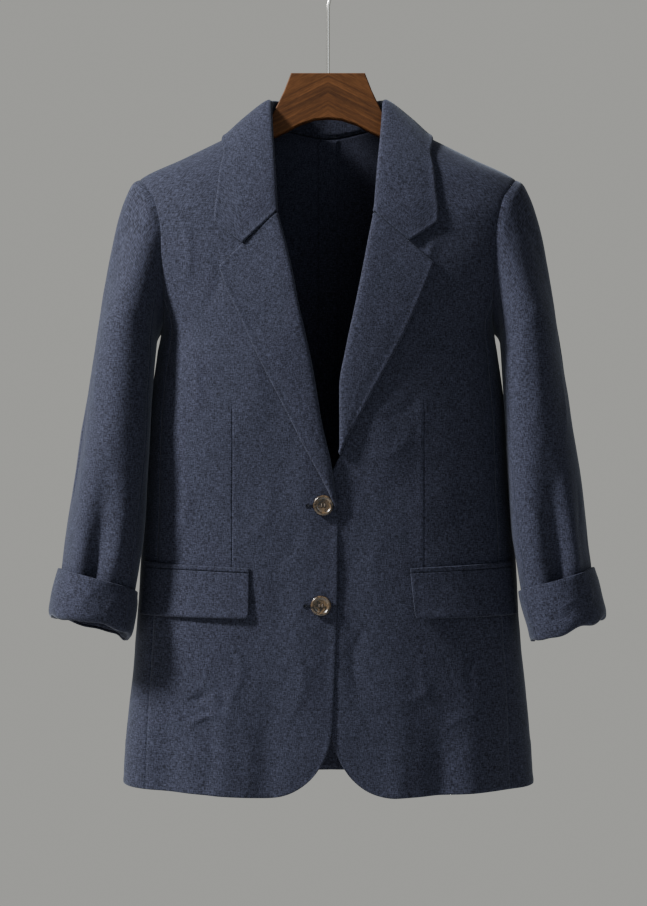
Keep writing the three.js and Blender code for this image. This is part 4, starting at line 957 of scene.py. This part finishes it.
def sleeve_head(side, turn, t):
    """Out of the armhole seam and down into the hanging sleeve."""
    angle, z = armhole(turn)
    start = skin(side, angle, z, -0.75) + [ARMHOLE_GAP * SIGN[side], 0, 0]
    end = sleeve_point(side, turn, SLEEVE_HEAD_Z)
    below = sleeve_point(side, turn, SLEEVE_HEAD_Z - 10)
    up = ((1 + np.cos(np.radians(turn))) / 2)[..., None]
    away = lerp(np.array([4.0, 0, -16]), np.array([75.0, 0, -8]), up)
    away = away - np.stack([0 * turn, 20 * np.sin(np.radians(turn)), 0 * turn], -1)
    away = away * [SIGN[side], 1, 1]
    arrive = unit(below - end) * np.linalg.norm(end - start, axis=-1, keepdims=True)
    bend = t * t * (3 - 2 * t)
    return (lerp(start, end, bend) + away * t * (1 - t) ** 2 + arrive * t * t * (t - 1))


def round_place(grid):
    """The places on the flat cloth of a tube's points, with the first column again at its end."""
    down = edge_distances(grid)[2].mean(1)[:, None]
    across = np.append(turns, turns[0] + 360)[None] * MM_PER_TURN
    return across + 0 * down, down + 0 * across


def on_cloth(creases):
    """A table of creases, with its turns as millimetres round the sleeve."""
    return [(turn * MM_PER_TURN, z, end_turn * MM_PER_TURN, end_z, width, height)
            for turn, z, end_turn, end_z, width, height in creases]


def cuff_raise(side, turn):
    """How far the turn-up's lower fold is pulled up in front and sags in scallops behind."""
    angle = np.radians(turn)
    front = np.maximum(np.sin(angle - 0.15), 0) ** 1.4
    phase = 0.6 if side == "right" else 2.2
    scallops = 1.0 * np.sin(angle * 5 + phase) + 0.6 * np.sin(angle * 9 - phase)
    if side == "right":
        return 8 * front + scallops - 1
    return 1.7 * scallops * (1 - np.exp(-(((turn - 175) / 32) ** 2))) - 3 * front - 1


fine_turns = np.array([-4, -2, -1.1, -0.5, 0, 0.5, 1.1, 2, 4])
near_seams = [seam_turn + fine_turns for seam_turn in SEAM_TURNS]
turns = np.unique(np.concatenate([np.arange(0, 360, 2.6), *near_seams]))
for side in ("right", "left"):
    t = np.r_[0, 0.004, 0.01, 0.02, 0.035, np.linspace(0.055, 1, 40)][:-1, None, None]
    turn = np.broadcast_to(turns[None], (len(t), len(turns)))
    head = sleeve_head(side, turn, t)
    share = np.linspace(0, 1, 106)[:, None]
    end_level = CUFF_BOTTOM_Z + SLEEVE_END_UP + cuff_raise(side, turns)[None]
    levels = lerp(SLEEVE_HEAD_Z, CUFF_BOTTOM_Z + SLEEVE_END_UP, share)
    levels = levels + (end_level - CUFF_BOTTOM_Z - SLEEVE_END_UP) * smoothstep(share, 0.86, 1)
    hanging = sleeve_point(side, turns[None], levels, FOLD_REACH_INSIDE)
    outer = np.concatenate([head, hanging])
    normals = grid_normals(outer, wrap=True)
    middle = outer.mean(1, keepdims=True)
    normals *= np.sign(np.sum(normals * (outer - middle), -1).mean(1))[:, None, None]
    _, _, down, _ = edge_distances(outer)
    z = outer[..., 2]
    place = np.broadcast_to(turns[None], z.shape) * MM_PER_TURN
    wobble = waves(place, z, 3 if side == "right" else 4)
    lift = strokes(place, z, on_cloth(SLEEVE_CREASES[side])) + 0.7 * wobble
    lift *= smoothstep(down, 4, 22) * (1 - smoothstep(-z, 660, 684))
    lift += 0.9 * np.exp(-((down - 9) / 7) ** 2) * smoothstep(z, -350, -290)
    for seam_turn in SEAM_TURNS:
        off = (turns[None] - seam_turn) * MM_PER_TURN
        lift -= 0.6 * np.exp(-(off / 0.8) ** 2) * smoothstep(down, 6, 20)
    high = outer + normals * lift[..., None]
    low = outer + normals * (lift - SLEEVE_WALL)[..., None]
    angle, z = armhole(turns)
    tuck_high = skin(side, angle, z, -2.2)[None]
    tuck_low = skin(side, angle, z, -2.9)[None]
    inward = np.array([6.0 * SIGN[side], 0, 0])
    high = np.concatenate([tuck_high - inward, high])
    low = np.concatenate([tuck_low - inward, low])
    piece = cloth_mesh(f"cloth_sleeve_{side}", high, low, linen, True, round_place(high))
    dress(piece, [f"top_sleeve_{side}", f"under_sleeve_{side}"])


# Turn-ups: the sleeve's end folded up twice, standing a little off the sleeve, its lower fold
# softly scalloped. The sleeve's front seam runs on through it.
CUFF = {
    "at": [0, 1, 2, 3, 4, 5, 6],
    "up": [50.5, 39, 22, 9, 3, 1, 1],
    "off": [1.5, 1.4, 1.4, 1.4, 1.4, 1.2, -1],
    "puff": [1, 3, 5, 5.7, 4.4, 1.8, 0],
}
CUFF_INNER_PUFF = 0.44
CUFF_CREASES = {
    "right": [
        (112, -684, 95, -722, 3.2, 1.2), (87, -676, 66, -712, 3.4, 0.9), (60, -682, 46, -706, 3, 0.7),
        (124, -690, 112, -716, 3, -0.7), (210, -690, 228, -714, 4, 0.9), (300, -680, 288, -710, 4, -0.8),
    ],
    "left": [
        (60, -690, 86, -701, 3, 0.8), (68, -704, 100, -716, 3, -0.7), (36, -678, 54, -702, 4, 0.8),
        (132, -694, 128, -722, 3, 0.8), (240, -684, 222, -712, 4, 0.9), (312, -686, 300, -716, 4, -0.8),
    ],
}
cuff = {key: curve(CUFF, "at", key) for key in CUFF if key != "at"}
for side in ("right", "left"):
    at = np.r_[0, 0.01, 0.025, 0.05, 0.09, 0.15, np.linspace(0.22, 3.6, 44), np.linspace(3.66, 6, 26)]
    turn = np.broadcast_to(turns[None], (len(at), len(turns)))
    folded = cuff["up"](at)[:, None] + 0 * turn
    level = CUFF_BOTTOM_Z + folded + cuff_raise(side, turn) * (1 - smoothstep(folded, 2, 40))
    level = level + 0.7 * np.sin(np.radians(turn) * 2 + SIGN[side]) * smoothstep(folded, 30, 48)
    point = sleeve_point(side, turn, level)
    around = sleeve_point(side, turn + 2, level) - sleeve_point(side, turn - 2, level)
    out = unit(np.stack([around[..., 1], -around[..., 0], 0 * turn], -1)) * -SIGN[side]
    share = lerp(CUFF_INNER_PUFF, 1, (1 + np.cos(np.radians(turn))) / 2)
    puff = cuff["off"](at)[:, None] + cuff["puff"](at)[:, None] * share
    wrinkles = 0.8 * waves(turn * MM_PER_TURN, level, 11 if side == "right" else 12)
    wrinkles = wrinkles + strokes(turn * MM_PER_TURN, point[..., 2], on_cloth(CUFF_CREASES[side]))
    puff = puff + wrinkles * smoothstep(at[:, None], 0.3, 1.2) * (1 - smoothstep(at[:, None], 4, 5))
    grid = point + out * puff[..., None]
    normals = grid_normals(grid, wrap=True)
    normals *= np.sign(np.sum(normals * out, -1)[: len(at) // 2].mean())
    _, _, down, _ = edge_distances(grid)
    half = np.maximum(TURNED_WALL / 2 * rounded(down, 1.0), 0.02)
    groove = 0.9 * np.exp(-((turn - SEAM_TURNS[0]) * MM_PER_TURN / 0.7) ** 2)
    high = grid + normals * (half - groove * np.minimum(half, 1))[..., None]
    low = grid - normals * half[..., None]
    piece = cloth_mesh(f"cloth_cuff_{side}", high, low, linen, True, round_place(high))
    dress(piece, [f"cuff_{side}"])


# Hip pockets: a narrow welt and the flap below it, of doubled linen, sewn on to each front. Both
# reach a little way on to the side panel, and the flap's inner corner is rounded.
POCKET_LIFT = 0.5
WELT = {"part": 0, "inner": (-664, -668.8), "outer": (80.5, -659.2, -664.4), "wall": 2.0}
FLAP = {"part": 1, "inner": (-669.3, -716), "outer": (80, -664.9, -715), "wall": 2.2}
FLAP_CORNER = 6
FLAP_CURL = {"right": 1.8, "left": 3}
INNER_EDGE = {"right": (80.6, 80.6, 82), "left": (84, 84.2, 88.6)}


def pocket(name, side, shape, rows, corner, curl, node):
    """A doubled strip on a front, with a rounded lower corner, that curls off the cloth."""
    top_in, bottom_in = shape["inner"]
    x0, x1 = INNER_EDGE[side][shape["part"]:][:2]
    angle_out, top_out, bottom_out = shape["outer"]
    start, end = (front_angle(x0, top_in), top_in), (front_angle(x1, bottom_in), bottom_in)
    corner_end = (end[0], end[1] + corner)
    far, far_end = (angle_out, top_out), (angle_out, bottom_out)
    width = np.linalg.norm(on_form(*start) - on_form(*far))

    def bottom(u):
        """The lower edge, with a quarter round at its inner corner."""
        angle, z = straight(end, far_end)(u)
        near_corner = np.clip(1 - u * width / max(corner, 1e-6), 0, 1)
        return angle, z + corner * (1 - np.sqrt(1 - near_corner ** 2))

    angle, z = patch(straight(start, corner_end), straight(far, far_end), straight(start, far), bottom,
                     steps(70, (0.002, 0.004, 0.008, 0.012), 0.017), rows)
    distances = edge_distances(skin(side, angle, z))
    nearest = np.minimum(np.minimum(distances[0], distances[1]), distances[3])
    roundness = np.minimum(rounded(nearest, 1.6), rounded(distances[2], 0.8))
    middle = POCKET_LIFT + shape["wall"] / 2
    share = distances[2] / np.maximum(distances[2][-1:], 1)
    middle = middle + curl * share ** 2 + 0.3 * waves(angle * 3, z, 6) * share * min(curl, 1)
    puff = 0.3 * np.exp(-((nearest - 4) / 3) ** 2)
    half = np.maximum(shape["wall"] / 2 * roundness, 0.02)
    piece = cloth_mesh(name, skin(side, angle, z, middle + half + puff * roundness),
                       skin(side, angle, z, middle - half), linen)
    dress(piece, [node])


for side in ("right", "left"):
    welt_rows = np.r_[0, 0.04, 0.09, 0.16, np.linspace(0.25, 0.75, 5), 0.84, 0.91, 0.96, 1]
    flap_rows = np.r_[0, 0.004, 0.01, 0.018, np.linspace(0.03, 0.965, 30), 0.975, 0.985, 0.992, 0.997, 1]
    pocket(f"cloth_welt_{side}", side, WELT, welt_rows, 0, 0, f"pocket_welt_{side}")
    pocket(f"cloth_flap_{side}", side, FLAP, flap_rows, FLAP_CORNER, FLAP_CURL[side], f"pocket_flap_{side}")


# Buttons: turned horn, with a raised rim round a well. Each has four drilled holes, and is sewn to
# the right front's edge with two thick stitches.
BUTTONS = {"button_top": (-5, -599), "button_bottom": (-7.5, -702)}
BUTTON_LIFT = 0.35
BUTTON_PROFILE = [(0, 0), (8, 0), (10.1, 1.2), (10.5, 2.2), (10.2, 3.2), (9.8, 3.6), (9.2, 3.9),
                  (8.7, 4.0), (8.2, 3.9), (7.8, 3.5), (7.2, 3.0), (6.6, 2.75), (5.5, 2.7), (0, 2.7)]
BUTTON_SIDES = 64
HOLE_SIDES = 20
HOLE_OUT = 2.3
HOLE_RADIUS = 1.0
HOLE_TURNS = (45, 135, 225, 315)
HOLE_PROFILE = [(0, -1), (HOLE_RADIUS, -1), (HOLE_RADIUS, 6), (0, 6)]
STITCH_RADIUS = 0.00055


def tube(name, points, radius, material, sides=12):
    """A round wire through points, in metres."""
    curve_data = bpy.data.curves.new(name, "CURVE")
    curve_data.dimensions = "3D"
    curve_data.bevel_depth = radius
    curve_data.bevel_resolution = sides // 4
    curve_data.use_fill_caps = True
    spline = curve_data.splines.new("POLY")
    spline.points.add(len(points) - 1)
    for spot, point in zip(spline.points, points):
        spot.co = (*point, 1)
    holder = bpy.data.objects.new(name + "_path", curve_data)
    scene.collection.objects.link(holder)
    bpy.context.view_layer.update()
    mesh = bpy.data.meshes.new_from_object(holder.evaluated_get(bpy.context.evaluated_depsgraph_get()))
    bpy.data.objects.remove(holder)
    mesh.name = name
    mesh.shade_smooth()
    mesh.materials.clear()
    mesh.materials.append(material)
    piece = bpy.data.objects.new(name, mesh)
    scene.collection.objects.link(piece)
    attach(piece, "root")
    return piece


def lathe(name, profile, segments):
    """A closed profile of radius and height, turned round its axis."""
    turn = np.linspace(0, 2 * np.pi, segments, endpoint=False)
    rings = [(0.0, 0.0, profile[0][1])]
    for radius, height in profile[1:-1]:
        rings += [(radius * math.cos(a), radius * math.sin(a), height) for a in turn]
    rings.append((0.0, 0.0, profile[-1][1]))
    faces = [(0, 1 + (i + 1) % segments, 1 + i) for i in range(segments)]
    for ring in range(len(profile) - 3):
        base = 1 + ring * segments
        faces += [(base + i, base + (i + 1) % segments, base + segments + (i + 1) % segments,
                   base + segments + i) for i in range(segments)]
    base = 1 + (len(profile) - 3) * segments
    faces += [(base + i, base + (i + 1) % segments, len(rings) - 1) for i in range(segments)]
    mesh = bpy.data.meshes.new(name)
    mesh.from_pydata(rings, [], faces)
    return mesh


def horn_material():
    """Dark horn with pale clouds, from one distorted noise."""
    material, shader = principled("horn", Roughness=0.28, Coat_Weight=0.2, Coat_Roughness=0.1)
    tree = material.node_tree
    coord, texture = tree.nodes.new("ShaderNodeTexCoord"), tree.nodes.new("ShaderNodeTexNoise")
    texture.inputs["Scale"].default_value = 210
    texture.inputs["Detail"].default_value = 4
    texture.inputs["Distortion"].default_value = 1.4
    ramp = tree.nodes.new("ShaderNodeValToRGB")
    ramp.color_ramp.elements[0].position = 0.4
    ramp.color_ramp.elements[0].color = (0.003, 0.002, 0.0015, 1)
    ramp.color_ramp.elements[1].position = 0.68
    ramp.color_ramp.elements[1].color = (0.082, 0.053, 0.027, 1)
    tree.links.new(coord.outputs["Object"], texture.inputs["Vector"])
    tree.links.new(texture.outputs["Fac"], ramp.inputs["Fac"])
    tree.links.new(ramp.outputs["Color"], shader.inputs["Base Color"])
    return material


horn = horn_material()
thread, _ = principled("thread", Base_Color=(0.07, 0.055, 0.045, 1), Roughness=0.8)
dark_thread, _ = principled("dark_thread", Base_Color=(0.006, 0.007, 0.012, 1), Roughness=0.9,
                            Specular_IOR_Level=0.1)
for name, (button_x, button_z) in BUTTONS.items():
    angle = front_angle(-button_x, button_z)
    out = form_normal(angle, button_z) * [-1, 1, 1]
    seat = skin("right", angle, np.array(float(button_z)), BUTTON_LIFT, relief=0.0)
    across = unit(np.cross(out, [0, 0, 1.0])) * -1
    upward = unit(np.cross(across, out)) * -1
    to_place = np.stack([across, upward, out], -1)
    mesh = lathe(name + "_blank", BUTTON_PROFILE, BUTTON_SIDES)
    blank = bpy.data.objects.new(name + "_blank", mesh)
    scene.collection.objects.link(blank)
    cutters = []
    for hole_turn in HOLE_TURNS:
        turn = math.radians(hole_turn)
        cutter = bpy.data.objects.new("hole", lathe("hole", HOLE_PROFILE, HOLE_SIDES))
        cutter.location = (HOLE_OUT * math.cos(turn), HOLE_OUT * math.sin(turn), 0)
        scene.collection.objects.link(cutter)
        cutters.append(cutter)
        cut = blank.modifiers.new("hole", "BOOLEAN")
        cut.object = cutter
        cut.solver = "EXACT"
    bpy.context.view_layer.update()
    drilled = bpy.data.meshes.new_from_object(blank.evaluated_get(bpy.context.evaluated_depsgraph_get()))
    for used in (blank, *cutters):
        bpy.data.objects.remove(used)
    points = np.array([vertex.co for vertex in drilled.vertices]) @ to_place.T + seat
    drilled.vertices.foreach_set("co", (points / 1000).ravel())
    if np.linalg.det(to_place) < 0:
        drilled.flip_normals()
    drilled.materials.clear()
    drilled.materials.append(horn)
    drilled.shade_smooth()
    drilled.set_sharp_from_angle(angle=math.radians(40))
    piece = bpy.data.objects.new(f"horn_{name}", drilled)
    scene.collection.objects.link(piece)
    dress(piece, [name])
    for part in (-1, 1):
        offset = HOLE_OUT * math.cos(math.radians(HOLE_TURNS[0])) * part
        arch = [(offset, HOLE_OUT * 0.72 * h, 2.15 + 0.95 * math.sqrt(max(1 - h * h, 0)))
                for h in np.linspace(-1, 1, 15)]
        stitch = np.array(arch) @ to_place.T + seat
        tube(f"stitch_{name}_{'ab'[part > 0]}", stitch / 1000, STITCH_RADIUS, thread)


# Buttonholes: a slit that starts under each button and ends in a round eye. A thick dark thread is
# worked round its edge, and a black wire along the slit is painted shade for the dark cut.
SLIT_START = 6
EYE_RADIUS = 1.7
EYE_OUT, EYE_DROP = 16.2, 0.4
EYE_GAP_TURN = 0.28
RIM_WIRE, SLIT_SHADE_WIRE = 0.0007, 0.0009


def on_front(path, out):
    """Points this far out from the right front, in metres, along a path of x and z."""
    return skin("right", front_angle(-path[:, 0], path[:, 1]), path[:, 1], out) / 1000


for name, (button_x, button_z) in BUTTONS.items():
    start_x, eye_x, eye_z = button_x - SLIT_START, button_x - EYE_OUT, button_z - EYE_DROP
    eye = [(eye_x + EYE_RADIUS * math.cos(a), eye_z + EYE_RADIUS * math.sin(a))
           for a in np.linspace(EYE_GAP_TURN, 2 * np.pi - EYE_GAP_TURN, 22)]
    rim = np.array([(start_x, button_z + 1), *eye, (start_x, button_z - 1)])
    steps_along = np.linspace(0, 1, 120) * (len(rim) - 1)
    path = np.stack([np.interp(steps_along, np.arange(len(rim)), rim[:, k]) for k in (0, 1)], -1)
    tube(f"buttonhole_{name}", on_front(path, 0.15), RIM_WIRE, dark_thread)
    path = np.stack([np.linspace(start_x, eye_x, 20), np.linspace(button_z, eye_z, 20)], -1)
    # Painted shade: the slit is not cut, so a black, fully rough wire just under the cloth stands for its
    # dark gap.
    slit_shade, _ = principled(f"slit_{name}", Base_Color=(0.003, 0.003, 0.004, 1), Roughness=1.0)
    tube(f"slit_{name}", on_front(path, -0.35), SLIT_SHADE_WIRE, slit_shade)


# Hanger: the CAD body, a flat board with a raised block, cut from walnut. It is mitred in the
# middle, so that its grain meets in a chevron.
GRAIN_TILT = math.radians(27)
WALNUT_TONES = [
    (0.3, (0.038, 0.0148, 0.0046, 1)), (0.5, (0.065, 0.0258, 0.0078, 1)),
    (0.72, (0.098, 0.041, 0.0132, 1)),
]
PORE_TINT = (0.45, 0.38, 0.34, 1)


def walnut_material():
    """Walnut: noise stretched along a tilted grain, mirrored at x = 0, with dark pores."""
    material, shader = principled("walnut", Roughness=0.6, Specular_IOR_Level=0.12)
    tree = material.node_tree
    add, link = tree.nodes.new, tree.links.new
    split, join, half = add("ShaderNodeSeparateXYZ"), add("ShaderNodeCombineXYZ"), add("ShaderNodeMath")
    half.operation = "ABSOLUTE"
    link(add("ShaderNodeTexCoord").outputs["Object"], split.inputs[0])
    link(split.outputs["X"], half.inputs[0])
    link(half.outputs[0], join.inputs["X"])
    link(split.outputs["Y"], join.inputs["Y"])
    link(split.outputs["Z"], join.inputs["Z"])
    turned = add("ShaderNodeMapping")
    turned.inputs["Rotation"].default_value = (0, -GRAIN_TILT, 0)
    link(join.outputs[0], turned.inputs["Vector"])

    def noise(scale, detail, distortion=0.0):
        """Noise on the tilted, mirrored grain, with its own scale each way."""
        stretched, texture = add("ShaderNodeMapping"), add("ShaderNodeTexNoise")
        stretched.inputs["Scale"].default_value = scale
        texture.inputs["Scale"].default_value = 1
        texture.inputs["Detail"].default_value = detail
        texture.inputs["Distortion"].default_value = distortion
        link(turned.outputs["Vector"], stretched.inputs["Vector"])
        link(stretched.outputs["Vector"], texture.inputs["Vector"])
        return texture.outputs["Fac"]

    figure, pores = noise((14, 60, 230), 5, 0.8), noise((130, 600, 1300), 2)
    ramp, fine, mix = add("ShaderNodeValToRGB"), add("ShaderNodeMath"), add("ShaderNodeMix")
    tones = ramp.color_ramp.elements
    for spot, (position, colour) in zip((tones[0], tones.new(0.5), tones[-1]), WALNUT_TONES):
        spot.position = position
        spot.color = colour
    link(figure, ramp.inputs["Fac"])
    fine.operation = "MULTIPLY_ADD"
    fine.inputs[1].default_value = -1.6
    fine.inputs[2].default_value = 1.15
    fine.use_clamp = True
    link(pores, fine.inputs[0])
    mix.data_type, mix.blend_type = "RGBA", "MULTIPLY"
    link(fine.outputs[0], mix.inputs["Factor"])
    link(ramp.outputs["Color"], mix.inputs["A"])
    mix.inputs["B"].default_value = PORE_TINT
    link(mix.outputs["Result"], shader.inputs["Base Color"])
    return material


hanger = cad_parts["hanger_body"]
hanger.data.materials.clear()
hanger.data.materials.append(walnut_material())


# Hook: a bright steel wire, set in the block. It runs straight up, bends to one side and goes
# over the rail in an arc.
HOOK = {"wire": 1.9, "radius": 22, "crown_z": 2, "foot": -163, "straight_top": -72,
        "start": -22, "end": 200}
# Where the wire bends from its straight stem to the arc: x and z
HOOK_BEND = [(0.25, -67), (1.1, -62.5), (2.6, -58), (4.9, -53.3), (7.7, -48.3), (10.6, -43.4),
             (14, -38.2), (17.2, -33.4)]
centre_z = HOOK["crown_z"] - HOOK["radius"]
arc = [(HOOK["radius"] * math.cos(a), centre_z + HOOK["radius"] * math.sin(a))
       for a in np.radians(np.linspace(HOOK["start"], HOOK["end"], 60))]
stem = [(0, z) for z in np.linspace(HOOK["foot"], HOOK["straight_top"], 10)]
steel, _ = principled("steel", Base_Color=(0.5, 0.5, 0.48, 1), Metallic=1.0, Roughness=0.2)
wire = tube("steel_hook", [(x / 1000, 0, z / 1000) for x, z in stem + HOOK_BEND + arc],
            HOOK["wire"] / 1000, steel, sides=20)
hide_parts("hook")
